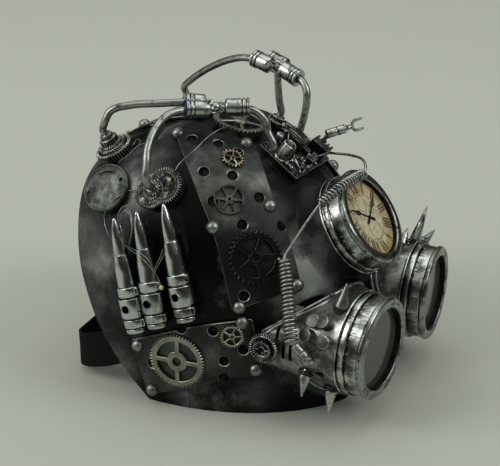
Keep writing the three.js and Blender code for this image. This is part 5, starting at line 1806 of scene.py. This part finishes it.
def build_cartridges():
    shade_discs = Stock()
    for number, (foot, tip) in enumerate(CARTRIDGES, 1):
        axis = unit(np.subtract(tip, foot))
        place = aim(foot, axis)
        out = unit(np.cross(axis, np.cross((-1, 0, 0), axis)))
        ahead = np.cross(axis, out)
        middle = np.asarray(foot) + axis * SLEEVE_HOLE_HEIGHT
        stock = Stock().add(turned(CARTRIDGE_PROFILE, 56, 0.35), place)
        body = stock.piece(f"cartridge_{number}_turned", "polished_case")
        drill = Stock().add(rod(SLEEVE_HOLE_RADIUS, 3.0, 9, 28, 0), aim(middle, out))
        carved(body, drill.piece("drill", "moulded_black"))
        settle(body, "chrome", f"cartridge_{number}")
        links = Stock()
        for height in LINK_HEIGHTS:
            spot = np.asarray(foot) + axis * height + ahead * LINK_AHEAD + out * LINK_OUT
            loops = [rounded_box(3.2, 4.6, 0.9), rounded_box(1.6, 2.8, 0.4)]
            links.add(sheet(loops, 0.9, -0.9, 0.25), basis(spot, ahead, axis))
        # A black disc at the bottom of each sleeve hole: painted shade.
        shade_discs.add(rod(SLEEVE_HOLE_RADIUS - 0.03, 2.9, 3.6, 28, 0.1), aim(middle, out))
        links.add(ring(SLEEVE_HOLE_RADIUS + 0.25, 0.3, 28, 8), aim(middle + out * 6.8, out))
        links.fasten(f"cartridge_{number}_links", "chromed_plastic", "chrome")
    shade_discs.fasten("cartridge_hole_shade_discs", "pit_black", "black_plastic")


# Hoses and their couplings
COUPLINGS = {
    "coupling_low": ((-27, 26, 170.2), [
        ((-31, 27.6, 169.6), (-41, 38, 170.7)), ((-24, 34.5, 171), (-32, 43.5, 172.4)),
        ((-24.3, 21.5, 170), (-16.8, 9, 170)),
    ]),
    "coupling_high": ((23, 11, 185.5), [
        ((22.4, 15, 186), (25, 28, 189.2)), ((30.4, 8.4, 184.6), (33, 21.6, 188)),
        ((22, 7.6, 185.6), (19, -5.6, 181)),
    ]),
}
SLEEVE_RADIUS = 5.5
BALL_RADIUS = 3.0
BALL_LINK = 1.5
SLEEVE_SHARE = 0.2


def sleeve_body(length):
    r = SLEEVE_RADIUS
    return turned([
        (0, -0.6), (2.2, -0.6), (r - 0.5, 0.9), (r - 0.3, 2.0), (r - 0.3, length - 5.0),
        (r - 0.9, length - 4.8),
        (r - 0.9, length - 4.2), (r, length - 4.0), (r, length - 2.5), (r - 0.8, length - 2.3),
        (r - 0.8, length - 1.8), (r, length - 1.6), (r, length), (2.7, length), (2.7, length - 3, -1),
        (0, length - 3, -1),
    ], 40, 0.4)


def build_couplings():
    for name, (knob, sleeves) in COUPLINGS.items():
        stock = Stock().add(ball(BALL_RADIUS), lambda p: p + np.array(knob))
        for start, end in sleeves:
            start, end = np.array(start, float), np.array(end, float)
            axis = unit(end - start)
            stock.add(sleeve_body(float(np.linalg.norm(end - start))), aim(start, axis))
            toward = start - np.array(knob)
            stock.add(rod(BALL_LINK, 0, float(np.linalg.norm(toward)) + 1, 20), aim(knob, toward))
            stock.add(ring(2.9, 0.75), aim(np.array(knob) + toward * 0.45, np.cross(toward, (0.2, 0.3, 1))))
        stock.fasten(name + "_sleeves", "chromed_plastic", "chrome", name)
    start, end = (np.array(p, float) for p in COUPLINGS["coupling_low"][1][0])
    seal = Stock().add(ring(4.7, 0.6), aim(end + unit(end - start) * 0.3, end - start))
    seal.fasten("sleeve_seal", "blue_rubber", "black_plastic")


def into_sleeve(name, index):
    start, end = (np.array(p, float) for p in COUPLINGS[name][1][index])
    return tuple(end + (start - end) * SLEEVE_SHARE)


def out_of_stack(name):
    point, axis = stack_place(name)
    return [tuple(point + axis * (STACKS[name]["top"] + rise)) for rise in (-1.0, 2.25)]


def onto_board(x, y, z):
    return [on_board(x, y, z + 2.25), on_board(x, y, z - 0.3)]


def build_hoses(sizes):
    routes = {
        "hose_a": [
            *out_of_stack("gear_stack_rear_right"), (-54, 86.5, 159.5), (-51, 83.5, 166.5),
            (-45, 72.6, 169.9),
            (-39, 57, 171.4), into_sleeve("coupling_low", 1)],
        "hose_b": [
            *out_of_stack("gear_stack_side"), (-82, 40, 140), (-80, 40.4, 147), (-75.5, 42.4, 155),
            (-64, 43.5, 165), (-51, 42, 170), into_sleeve("coupling_low", 0)],
        "hose_c": [
            *out_of_stack("gear_stack_rear_left"), (44.5, 91.6, 159), (39, 82, 167), (35, 68, 176),
            (31, 52, 183.8), (27.5, 38, 188), into_sleeve("coupling_high", 0)],
        "hose_d": [
            into_sleeve("coupling_high", 2), (18, -8.8, 179.5), (16, -12.4, 174), (15, -12.6, 166),
            (14.5, -11, 157),
            *onto_board(8.5, 6, BOARD_WALL)],
        "hose_e": [(23, 11, 185), (23, 10.2, 170.8), (22.8, 8.8, 162),
                   *out_of_stack("gear_stack_front")[::-1]],
        "hose_f": [
            into_sleeve("coupling_low", 2), (-14.2, 5.4, 166.8), (-12.4, 0.6, 161.5), (-12.6, -1, 155.5),
            *onto_board(-17.5, 8.5, BOARD_WALL)],
    }
    for name, route in routes.items():
        piece = tube(name + "_tube", [route], sizes.hose_radius, finish("satin_hose"))
        settle(piece, "chrome", name)


# Circuit board
BOARD_AT = (0, -10.5, 139)
BOARD_WIDE = 46.0
BOARD_DEEP = 30.0
BOARD_WALL = 1.6
BOARD_LIFT = 0.7
BOARD_SHIFT = np.array([4.0, 0.0, 0.0])
BOARD_TOP = BOARD_WALL + SEAT_GAP
CAPACITOR = (-18.4, 1.6, 4.2, 11.5)
RELAY = (-0.5, 4.5, 7.4, 12.6, 11.0)
TERMINAL = (14.6, -7.5, 9.4, 12.0, 9.0)
TRANSISTOR = (1.0, -10.4, 8.0, 4.6, 6.0)
KNOB = (-6.5, 12.0, 2.9, 6.0)
RESISTORS = [(-20, -6, 90), (-6.5, -9.0, 15), (-4.5, -12.8, 0), (8, 12, 90), (-13.5, -9, 60), (20.5, 8, 80)]
CHIPS = [
    (-8.8, 0.9, 4.2, 4.4, 5.0), (6.6, -3.0, 4.0, 5.0, 3.4), (12, 7, 4.4, 3.4, 5.5), (-12, -12, 3.2, 2.4, 3.0),
    (-9.5, 7.5, 3.2, 5.0, 4.0), (7.5, -9, 2.6, 3.2, 4.4),
]
LUMPS = [
    (-10.9, -6, 1.5), (-9, -4.5, 1.1), (-12.8, -4.2, 1.2), (6, -6.5, 1.6), (-2.5, -6, 1.3), (20, 2, 1.8),
    (-16, -12.5, 1.2), (-15.2, -3.6, 1.0), (4.4, -13, 1.2), (-5.5, -4.0, 1.0),
]
PINS = [(-16.5, -14.2), (-14.2, -14.2), (-10.5, -3), (-8.4, -7.2), (16.5, 4), (18.8, 4), (9.5, 1), (5.2, 11)]


def board_frame():
    point, normal = seat_one(BOARD_AT)
    return basis(point + normal * BOARD_LIFT + BOARD_SHIFT, (1, 0, 0), np.cross(normal, (1, 0, 0)))


def on_board(x, y, z):
    return tuple(board_frame()([(x, y, z)])[0])


def block(x, y, wide, deep, low, top, corner=0.5, chamfer=0.4):
    points, faces, wear = sheet([rounded_box(wide, deep, corner)], top, low, chamfer)
    return points + (x, y, 0), faces, wear


def moved(body, *offset):
    points, faces, wear = body
    return np.asarray(points, float) + offset, faces, wear


def laid(body, turn):
    """Lays an upright body along local X and turns it about local Z by an angle in degrees."""
    points, faces, wear = body
    return aim((0, 0, 0), (math.cos(math.radians(turn)), math.sin(math.radians(turn)),
                           0))(points), faces, wear


def build_board():
    place = board_frame()
    corners = [(sx * (BOARD_WIDE / 2 - 2.4), sy * (BOARD_DEEP / 2 - 2.4)) for sx in (-1, 1) for sy in (-1, 1)]
    loops = [rounded_box(BOARD_WIDE, BOARD_DEEP, 0.6), *(circle(1.0, corner, 16) for corner in corners[:3])]
    board = Stock().add(sheet(loops, BOARD_WALL, 0, 0.2), place)
    for x, y, wide, deep, tall in CHIPS:
        board.add(block(x, y, wide, deep, BOARD_WALL - 0.1, BOARD_WALL + tall, 0.3, 0.3), place)
    board.fasten("board_sheet", "circuit_board_resin", "board", "circuit_board")

    x, y, radius, tall = CAPACITOR
    can = turned([
        (0, BOARD_WALL), (radius + 0.2, BOARD_WALL), (radius + 0.2, BOARD_WALL + 1.2),
        (radius - 0.4, BOARD_WALL + 1.5),
        (radius - 0.4, BOARD_WALL + 2.0), (radius, BOARD_WALL + 2.4), (radius, BOARD_TOP + tall - 0.3),
        (radius - 0.7, BOARD_TOP + tall), (radius - 1.1, BOARD_TOP + tall - 0.35),
        (0, BOARD_TOP + tall - 0.35),
    ], 40, 0.35)
    capacitor = Stock().add(moved(can, x, y, 0), place)
    for turn in (0, 90):
        bar = stroke((-2.2, 0), (2.2, 0), 0.4)
        capacitor.add(moved(sheet([clock_turn(turn + 25)(bar)], BOARD_TOP + tall - 0.15,
                                  BOARD_TOP + tall - 0.6, 0.08),
                            x, y, 0), place)
    capacitor.fasten("capacitor_can", "chromed_plastic", "chrome", "capacitor")

    x, y, wide, deep, tall = RELAY
    relay = Stock().add(block(x, y, wide, deep, BOARD_WALL, BOARD_TOP + tall - 1.4, 0.6, 0.3), place)
    relay.add(block(x, y, wide - 0.8, deep - 0.8, BOARD_TOP + tall - 1.8, BOARD_TOP + tall, 0.6, 0.5), place)
    relay.add(block(x - wide / 2, y - 1.5, 1.0, deep * 0.62, BOARD_TOP + tall * 0.62, BOARD_TOP + tall * 0.78,
                    0.2, 0.2), place)
    relay.add(block(x - wide / 2, y - 1.0, 1.4, deep * 0.4, BOARD_WALL, BOARD_TOP + tall * 0.5, 0.3, 0.3),
              place)
    relay.fasten("relay_case", "circuit_board_resin", "black_plastic", "relay_block")

    x, y, wide, deep, tall = TERMINAL
    terminal = Stock().add(block(x, y, wide, deep, BOARD_WALL, BOARD_TOP + tall - 2.2, 0.5, 0.3), place)
    for k in range(5):
        rib_y = y - deep / 2 + 0.8 + k * (deep - 1.6) / 4
        terminal.add(block(x, rib_y, wide, 1.4, BOARD_TOP + tall - 2.6, BOARD_TOP + tall, 0.3, 0.25), place)
    terminal.add(block(x - 1.6, y, wide - 3.2, deep, BOARD_TOP + tall - 2.6, BOARD_TOP + tall - 0.1, 0.3,
                       0.25), place)
    for k in range(4):
        screw_y = y - deep / 2 + 2.1 + k * (deep - 4.2) / 3
        terminal.add(moved(rod(0.8, 0, 1.2, 16, 0.2), x + wide / 2 - 1.5, screw_y, BOARD_TOP + tall - 2.6),
                     place)
    terminal.fasten("terminal_case", "circuit_board_resin", "black_plastic", "terminal_block")

    x, y, wide, deep, tall = TRANSISTOR
    transistor = Stock().add(block(x, y, wide, deep, BOARD_WALL, BOARD_TOP + tall - 1.6, 0.4, 0.4), place)
    transistor.add(block(x, y + deep * 0.3, wide * 0.92, deep * 0.34, BOARD_WALL, BOARD_TOP + tall, 0.4,
                         0.3), place)
    transistor.fasten("transistor_case", "circuit_board_resin", "black_plastic", "transistor_block")

    small = Stock()
    for x, y, turn in RESISTORS:
        shape = turned([
            (0, -4.2), (0.3, -4.2), (0.3, -2.7), (1.15, -2.4), (1.25, -1.7), (0.95, -1.2), (0.95, 1.2),
            (1.25, 1.7),
            (1.15, 2.4), (0.3, 2.7), (0.3, 4.2), (0, 4.2),
        ], 20, 0.2)
        small.add(moved(laid(shape, turn), x, y, BOARD_WALL + 1.3), place)
    for x, y, radius in LUMPS:
        small.add(moved(ball(radius, 20, 0.9), x, y, BOARD_WALL + radius * 0.55), place)
    for x, y in PINS:
        small.add(moved(rod(0.45, -0.2, 3.4, 8, 0.15), x, y, BOARD_WALL), place)
    x, y, radius, tall = KNOB
    small.add(moved(turned([
        (0, -0.2), (radius * 0.7, -0.2), (radius * 0.7, tall * 0.5), (radius, tall * 0.55),
        (radius, tall - 0.8),
        (radius - 0.8, tall), (0, tall),
    ], 28, 0.3), x, y, BOARD_WALL), place)
    small.fasten("board_small_parts", "chromed_plastic", "chrome")


# Fork terminal
FORK_AXIS = unit((0.72, -0.66, 0.2))
FORK_POST = 5.4
FORK_BARREL = 15.0
FORK_REACH = 23.0
FORK_OUTER = 4.2
FORK_INNER = 2.5


def build_fork():
    foot = np.array(on_board(18, -6, BOARD_TOP + TERMINAL[4]))
    up = unit(seat_one(BOARD_AT)[1])
    bend = foot + up * FORK_POST
    side = unit(np.array([0, 0, 1]) - FORK_AXIS * FORK_AXIS[2])
    stock = Stock().add(rod(1.3, -0.6, FORK_POST, 20), aim(foot, up))
    stock.add(turned([
        (0, -1.5), (2.7, -1.5), (2.8, 0), (2.8, 4.4), (2.5, 4.9), (2.5, 5.4), (2.8, 5.9), (2.8, 10.6),
        (1.7, 12),
        (1.2, 15), (0, 15),
    ], 28, 0.3), aim(bend, FORK_AXIS))
    centre = FORK_BARREL + FORK_OUTER - 0.2
    half = math.pi / 2
    loop = np.vstack([
        [(FORK_REACH, FORK_INNER + 0.2)], [(FORK_REACH, FORK_OUTER - 0.3)],
        circle(FORK_OUTER, (centre, 0), 14, half, 3 * half), [(FORK_REACH, -FORK_OUTER + 0.3)],
        [(FORK_REACH, -FORK_INNER - 0.2)], circle(FORK_INNER, (centre, 0), 12, half, 3 * half)[::-1],
    ])
    stock.add(sheet([loop], 0.6, -0.6, 0.2), basis(bend, FORK_AXIS, side))
    stock.fasten("fork_lug", "chromed_plastic", "chrome", "fork_terminal")


# Springs and thick wires
CLOCK_SPRING = [(0, -57.5, 134.6), (-22, -52.9, 132.2), (-35.5, -46.6, 125.3)]
CHEEK_SPRING = [(-57.8, -35.4, 97.6), (-67.8, -42.8, 77.9), (-77.9, -49.8, 58)]
CHEEK_WIRE = [(-35.6, -46.3, 124.8), (-40.9, -40.7, 114.7), (-51.6, -36.7, 104), (-57.4, -35.2, 98.4)]
CLOCK_COIL = 3.3
CHEEK_COIL = 4.1
CLOCK_TURNS = 17
CHEEK_TURNS = 21
CRIMP_WIRE = 1.1
CRIMP_FROM = (-77.3, -52.6, 55)
CRIMP_TO = (-77.3, -58.6, 50)
CRIMP_HOOK = [(-77.3, -56.8, 51.5), (-77.3, -60, 48.4), (-77.2, -62.6, 47.2), (-76.6, -63.6, 48.6)]


def build_springs(sizes):
    metal = finish("satin_hose")
    for name, route, radius, turns in (
        ("clock_spring", CLOCK_SPRING, CLOCK_COIL, CLOCK_TURNS),
        ("cheek_spring", CHEEK_SPRING, CHEEK_COIL, CHEEK_TURNS),
    ):
        coil = grown(name + "_coil", coil_tree, [evenly(route, 60)], {
            "Coil Radius": radius * MM - sizes.spring_wire, "Wire Radius": sizes.spring_wire,
            "Turns": float(turns),
            "Steps": 20, "Material": metal,
        })
        settle(coil, "chrome", name)
    clock_wire = [
        on_board(18.5, -12.6, BOARD_TOP + 4), (17, -43, 138.8),
        (9, -53.5, 139.4), (2.5, -57.6, 136.6), (-1, -57.3, 134.5), (-4, -56.7, 134.2),
    ]
    inner_end = tuple(evenly(CLOCK_SPRING, 20)[-3])
    outer_end = tuple(evenly(CHEEK_SPRING, 20)[2])
    cheek_wire = [inner_end, *CHEEK_WIRE, outer_end]
    for name, route in (("clock_wire", clock_wire), ("cheek_wire", cheek_wire)):
        settle(tube(name + "_bare", [route], sizes.thick_wire, metal, 12, 0.8), "chrome", name)
    axis = np.subtract(CRIMP_TO, CRIMP_FROM)
    length = float(np.linalg.norm(axis))
    crimp = Stock().add(turned([
        (0, -1.5), (2.1, -1.5), (2.8, -0.8), (2.8, length * 0.5), (2.5, length * 0.54), (2.5, length * 0.6),
        (2.8, length * 0.64), (2.8, length), (2.1, length + 0.7), (0, length + 0.7),
    ], 28, 0.3), aim(CRIMP_FROM, axis))
    crimp.fasten("crimp_barrel", "satin_hose", "chrome", "spring_crimp")
    settle(tube("crimp_hook", [CRIMP_HOOK], CRIMP_WIRE * MM, metal, 14, 0.5), "chrome")


# Loose wires and beads
LOOSE_WIRES = [
    [(-76.5, 73.5, 109.5), (-80.3, 69.9, 114.8), (-77.4, 67.5, 119.6), (-76, 64.1, 123.1),
     (-71.3, 60.2, 126.3),
     (-71.3, 57.5, 126.8), (-72.5, 54, 127.5), (-76.6, 46.8, 130.1), (-77.6, 43.4, 131.6)],
    [(-76.3, 73.8, 109.9), (-78.2, 72.2, 105.7), (-81.5, 68, 101.5), (-86.5, 62, 101), (-93.4, 54.3, 104.4)],
    [(-88, 51.9, 99.7), (-91, 52, 106.3), (-88.5, 56, 112), (-88, 54.9, 119.2), (-88, 50.9, 123.8),
     (-88, 47.6, 121.1), (-91.8, 43.4, 116.4), (-89, 46.2, 107), (-88.4, 48.6, 101), (-88, 51.9, 99.7)],
    [(-88.6, 51, 98.5), (-90.6, 51.5, 108), (-88, 54.6, 113), (-88.6, 53.2, 118), (-89, 50, 121.6),
     (-88.6, 47.4, 119), (-91.2, 44.4, 113), (-89.4, 46.8, 104), (-88.2, 49.6, 99.4)],
    [(-87.6, 52.4, 100.4), (-89.4, 54, 108.5), (-87, 56.6, 115), (-87.2, 53.4, 121.6), (-87.6, 49, 124.2),
     (-87.4, 46.6, 118.4), (-89, 46, 110), (-88, 49.2, 102)],
    [(-88.4, 51, 100), (-91.5, 45, 100.5), (-94.6, 37.7, 100.4), (-93.3, 32, 95.8), (-91.4, 29.2, 88),
     (-92.6, 25.4, 82), (-92.6, 24.8, 80.7)],
    [(-88.2, 51.5, 99.5), (-91.2, 44.5, 98.5), (-94.7, 37, 98), (-93.4, 31, 92), (-91.7, 27.5, 86),
     (-92.6, 24.8, 80.7)],
    [(-91.7, 23.6, 103.6), (-90.5, 26.8, 97.5), (-91.2, 29.3, 92.2), (-93.6, 29.8, 85)],
    [(-91.2, 22.8, 101.5), (-91, 26.2, 95.6), (-92, 28.8, 90), (-93.2, 28.9, 83.6)],
    [(-69.5, 32, 136.4), (-64, 31.6, 141.4), (-58.3, 31.2, 144.6), (-51.6, 26.7, 150), (-38, 24, 156),
     (-25.6, 20.6, 158.4), (-15, 17.4, 156.6)],
    [(-56, 76.4, 136.8), (-50, 71, 142.5), (-46.8, 68, 146), (-43.5, 64, 147.6)],
    [(-44.5, 73.4, 145), (-41, 72.5, 148), (-43, 69, 147.6), (-47, 68, 145)],
    [(-41, 57.3, 150), (-36, 56.6, 153.2), (-30, 56.6, 154.4), (-24, 56, 153.8)],
]
BOARD_WIRES = [
    [(1, -10, 5.5), (5, -13, 9.2), (12, -13.9, 10.6), (18.6, -12.5, 10.4)],
    [(-0.5, 9.5, 12.4), (3.5, 8, 13.6), (7.5, 3, 8), (7, -2.5, 4.6)],
    [(-14, 3, 8), (-10, 8, 13), (-5, 10, 12), (-1.5, 7, 12.6)],
    [(-20, -2.5, 2.2), (-14.5, -4.4, 5), (-9.5, -2, 5.5), (-6, -5, 2)],
    [(6.4, -2, 4.6), (4, -5.5, 7), (-1, -7.5, 5.5), (-4, -9, 2.4)],
]
BEADS = [(-69.6, 32, 136.9), (-92.6, 24.8, 80.7), (-9.5, 101.2, 141.4), (11, -14.2, 139.6)]
BEAD_RADIUS = 1.35


def build_loose_wires(sizes):
    routes = LOOSE_WIRES + [[on_board(*point) for point in route] for route in BOARD_WIRES]
    settle(tube("loose_wires", routes, sizes.loose_wire, finish("satin_hose"), 8, 0.9), "chrome")
    beads = grown("wire_beads", dome_tree, [np.array(BEADS, float)], {
        "Radius": BEAD_RADIUS * MM, "Height": BEAD_RADIUS * MM, "Segments": 16,
        "Material": finish("lamp_bead"),
    }, np.tile((0.0, 0.0, 1.0), (len(BEADS), 1)))
    settle(beads, "brass")


# Elastic strap
STRAP_HALF = [
    (-82.8, 40), (-82, 58), (-80, 80), (-76.5, 94), (-71, 101), (-58, 106), (-30, 111.5), (0, 113.5),
]
STRAP_LOW = 0.6
STRAP_WIDTH = 22.0
STRAP_WALL = 1.2
STRAP_RISE = 36.0
STRAP_BEND = 3.4
STRAP_STEPS = 120


def build_strap(sizes):
    half = [(x, y, 0.0) for x, y in STRAP_HALF]
    whole = half + [tuple(mirrored(p)) for p in half[-2::-1]]
    path = evenly(whole, STRAP_STEPS)
    share = np.abs(np.linspace(-1, 1, len(path)))
    path[:, 2] = STRAP_LOW + STRAP_WIDTH / 2 + STRAP_RISE * share ** STRAP_BEND
    strap = grown("strap_tape", strap_tree, [path], {
        "Width": STRAP_WIDTH * MM, "Wall": STRAP_WALL * MM, "Ribs": sizes.strap_ribs,
        "Material": finish("woven_elastic"),
    })
    settle(strap, "elastic", "elastic_strap")


# Stage
FLOOR_RADIUS = 3.2
FLOOR_SIDES = 96
FLOOR_RINGS = (1.0, 0.3)
SKY_BAND = (0.25, 0.9)
SKY_STRENGTH = (0.03, 0.85)
CLIP_START = 0.01
BACKDROP_STRENGTH = 0.62
STAGE_CENTRE = (0, 10, 90)

# Soft lights: name, place in mask millimetres, side in metres and share of the key power
STUDIO_LIGHTS = [
    ("left_softbox", (-1160, 960, 1280), 0.9, 4.2), ("rear_window", (-1100, 1480, 580), 0.8, 1.3),
    ("front_softbox", (120, -1400, 1240), 0.9, 3.2), ("overhead_softbox", (300, 100, 2200), 1.8, 3.2),
]


def look_at(light, target):
    """Turns a light to a point."""
    light.rotation_euler = (Vector(target) - light.location).to_track_quat("-Z", "Y").to_euler()


def build_stage(sizes, colours):
    """Floor, soft world, lights and the camera of the photograph."""
    scene = bpy.context.scene
    mesh = bpy.data.meshes.new("studio_floor")
    n = FLOOR_SIDES
    loop = circle(FLOOR_RADIUS, count=n)
    points = np.vstack([flat(loop * share, 0) for share in FLOOR_RINGS] + [[(0, 0, 0)]])
    faces = [[k, (k + 1) % n, n + (k + 1) % n, n + k] for k in range(n)]
    faces += [[n + k, n + (k + 1) % n, 2 * n] for k in range(n)]
    mesh.from_pydata(points, [], faces)
    mesh.materials.append(finish("studio_floor"))
    floor = bpy.data.objects.new("studio_floor", mesh)
    scene.collection.objects.link(floor)

    world = bpy.data.worlds.new("soft_studio")
    world.use_nodes = True
    tree = world.node_tree
    tree.nodes.clear()
    around = add_node(tree, "ShaderNodeTexCoord").outputs["Generated"]
    upward = add_node(tree, "ShaderNodeSeparateXYZ", {0: around}).outputs["Z"]
    overhead = ranged(tree, upward, SKY_BAND, SKY_STRENGTH)
    seen = add_node(tree, "ShaderNodeLightPath").outputs["Is Camera Ray"]
    strength = add_node(tree, "ShaderNodeMix", {0: seen, 2: overhead, 3: BACKDROP_STRENGTH},
                        data_type="FLOAT")
    sky = add_node(tree, "ShaderNodeBackground",
                   {"Color": tuple(colours.sky), "Strength": strength.outputs[0]})
    add_node(tree, "ShaderNodeOutputWorld", {"Surface": sky.outputs[0]})
    scene.world = world

    centre = to_frame(STAGE_CENTRE)
    for name, place, size, share in STUDIO_LIGHTS:
        lamp = bpy.data.lights.new(name, "AREA")
        lamp.shape = "SQUARE"
        lamp.size = size
        lamp.energy = sizes.key_power * share
        light = bpy.data.objects.new(name, lamp)
        light.location = to_frame(place)
        scene.collection.objects.link(light)
        look_at(light, centre)

    camera = bpy.data.objects.new("photo_camera", bpy.data.cameras.new("photo_camera"))
    camera.data.sensor_width = SENSOR_WIDTH
    camera.data.lens = FOCAL_PIXELS / IMAGE_WIDTH * SENSOR_WIDTH
    camera.data.clip_start = CLIP_START
    turn = Matrix((CAMERA_RIGHT, CAMERA_UP, CAMERA_BACK)).transposed().to_4x4()
    camera.matrix_world = Matrix.Translation(to_frame(CAMERA_POINT)) @ turn
    scene.collection.objects.link(camera)
    scene.camera = camera
    scene.view_settings.view_transform = "Standard"


# Operators
class MASK_OT_stage(bpy.types.Operator):
    """Lays the pale floor, hangs the soft lights and sets the camera"""

    bl_idname = "mask_kit.stage"
    bl_label = "Stage"

    def execute(self, context):
        build_stage(context.scene.mask_sizes, context.scene.mask_colours)
        return {"FINISHED"}


class MASK_OT_shell(bpy.types.Operator):
    """Moulds the head shell with its eye openings"""

    bl_idname = "mask_kit.shell"
    bl_label = "Shell"

    def execute(self, context):
        build_shell()
        return {"FINISHED"}


class MASK_OT_plates(bpy.types.Operator):
    """Cuts, drills and rivets the side bands, the crown strip and the cheek plates"""

    bl_idname = "mask_kit.plates"
    bl_label = "Plates and rivets"

    def execute(self, context):
        build_plates(context.scene.mask_sizes)
        return {"FINISHED"}


class MASK_OT_goggle_bases(bpy.types.Operator):
    """Moulds the goggle bases with their ridges, studs, rivets and slots"""

    bl_idname = "mask_kit.goggle_bases"
    bl_label = "Goggle bases"

    def execute(self, context):
        build_goggle_bases(context.scene.mask_sizes)
        return {"FINISHED"}


class MASK_OT_cups(bpy.types.Operator):
    """Turns the eye cups, the clock case, their bezels and the lenses"""

    bl_idname = "mask_kit.cups"
    bl_label = "Cups and lenses"

    def execute(self, context):
        build_cups()
        return {"FINISHED"}


class MASK_OT_dial(bpy.types.Operator):
    """Prints the clock dial and sets its hands"""

    bl_idname = "mask_kit.dial"
    bl_label = "Clock dial"

    def execute(self, context):
        build_dial()
        return {"FINISHED"}


class MASK_OT_spikes(bpy.types.Operator):
    """Screws the spikes and their washers to the goggle bases"""

    bl_idname = "mask_kit.spikes"
    bl_label = "Spikes"

    def execute(self, context):
        build_spikes()
        return {"FINISHED"}


class MASK_OT_gears(bpy.types.Operator):
    """Cuts the spoked gears that lie on the plates and the crown"""

    bl_idname = "mask_kit.gears"
    bl_label = "Gears"

    def execute(self, context):
        build_gears()
        return {"FINISHED"}


class MASK_OT_stacks(bpy.types.Operator):
    """Builds the gear stacks and the cheek pinion"""

    bl_idname = "mask_kit.stacks"
    bl_label = "Gear stacks"

    def execute(self, context):
        build_stacks()
        return {"FINISHED"}


class MASK_OT_cap(bpy.types.Operator):
    """Casts the round pewter cap"""

    bl_idname = "mask_kit.cap"
    bl_label = "Round cap"

    def execute(self, context):
        build_cap()
        return {"FINISHED"}


class MASK_OT_cartridges(bpy.types.Operator):
    """Turns the dummy cartridges and their belt links"""

    bl_idname = "mask_kit.cartridges"
    bl_label = "Cartridges"

    def execute(self, context):
        build_cartridges()
        return {"FINISHED"}


class MASK_OT_board(bpy.types.Operator):
    """Populates the circuit board"""

    bl_idname = "mask_kit.board"
    bl_label = "Circuit board"

    def execute(self, context):
        build_board()
        return {"FINISHED"}


class MASK_OT_fork(bpy.types.Operator):
    """Sets the fork terminal on its post"""

    bl_idname = "mask_kit.fork"
    bl_label = "Fork terminal"

    def execute(self, context):
        build_fork()
        return {"FINISHED"}


class MASK_OT_hoses(bpy.types.Operator):
    """Runs the hoses and joins them in their couplings"""

    bl_idname = "mask_kit.hoses"
    bl_label = "Hoses and couplings"

    def execute(self, context):
        build_couplings()
        build_hoses(context.scene.mask_sizes)
        return {"FINISHED"}


class MASK_OT_springs(bpy.types.Operator):
    """Winds the springs and runs the thick wires between them"""

    bl_idname = "mask_kit.springs"
    bl_label = "Springs and wires"

    def execute(self, context):
        build_springs(context.scene.mask_sizes)
        return {"FINISHED"}


class MASK_OT_loose_wires(bpy.types.Operator):
    """Strings the fine loose wires and their small lamp beads"""

    bl_idname = "mask_kit.loose_wires"
    bl_label = "Loose wires and beads"

    def execute(self, context):
        build_loose_wires(context.scene.mask_sizes)
        return {"FINISHED"}


class MASK_OT_strap(bpy.types.Operator):
    """Loops the ribbed elastic across the open back"""

    bl_idname = "mask_kit.strap"
    bl_label = "Elastic strap"

    def execute(self, context):
        build_strap(context.scene.mask_sizes)
        return {"FINISHED"}


OPERATORS = (
    MASK_OT_stage, MASK_OT_shell, MASK_OT_plates, MASK_OT_goggle_bases, MASK_OT_cups, MASK_OT_dial,
    MASK_OT_spikes,
    MASK_OT_gears, MASK_OT_stacks, MASK_OT_cap, MASK_OT_cartridges, MASK_OT_board, MASK_OT_fork,
    MASK_OT_hoses,
    MASK_OT_springs, MASK_OT_loose_wires, MASK_OT_strap,
)


class MASK_PT_pieces(bpy.types.Panel):
    """Lists the mask's pieces in the order that they are built"""

    bl_label = "Steampunk mask"
    bl_idname = "MASK_PT_pieces"
    bl_space_type = "VIEW_3D"
    bl_region_type = "UI"
    bl_category = "Mask"

    def draw(self, context):
        for operator in OPERATORS:
            self.layout.operator(operator.bl_idname)


CLASSES = (MaskColours, MaskSizes, *OPERATORS, MASK_PT_pieces)


def register():
    for cls in CLASSES:
        bpy.utils.register_class(cls)
    bpy.types.Scene.mask_colours = PointerProperty(type=MaskColours)
    bpy.types.Scene.mask_sizes = PointerProperty(type=MaskSizes)


def unregister():
    del bpy.types.Scene.mask_sizes
    del bpy.types.Scene.mask_colours
    for cls in reversed(CLASSES):
        bpy.utils.unregister_class(cls)


def main():
    register()
    for operator in OPERATORS:
        group, name = operator.bl_idname.split(".")
        getattr(getattr(bpy.ops, group), name)()


if __name__ == "__main__":
    main()
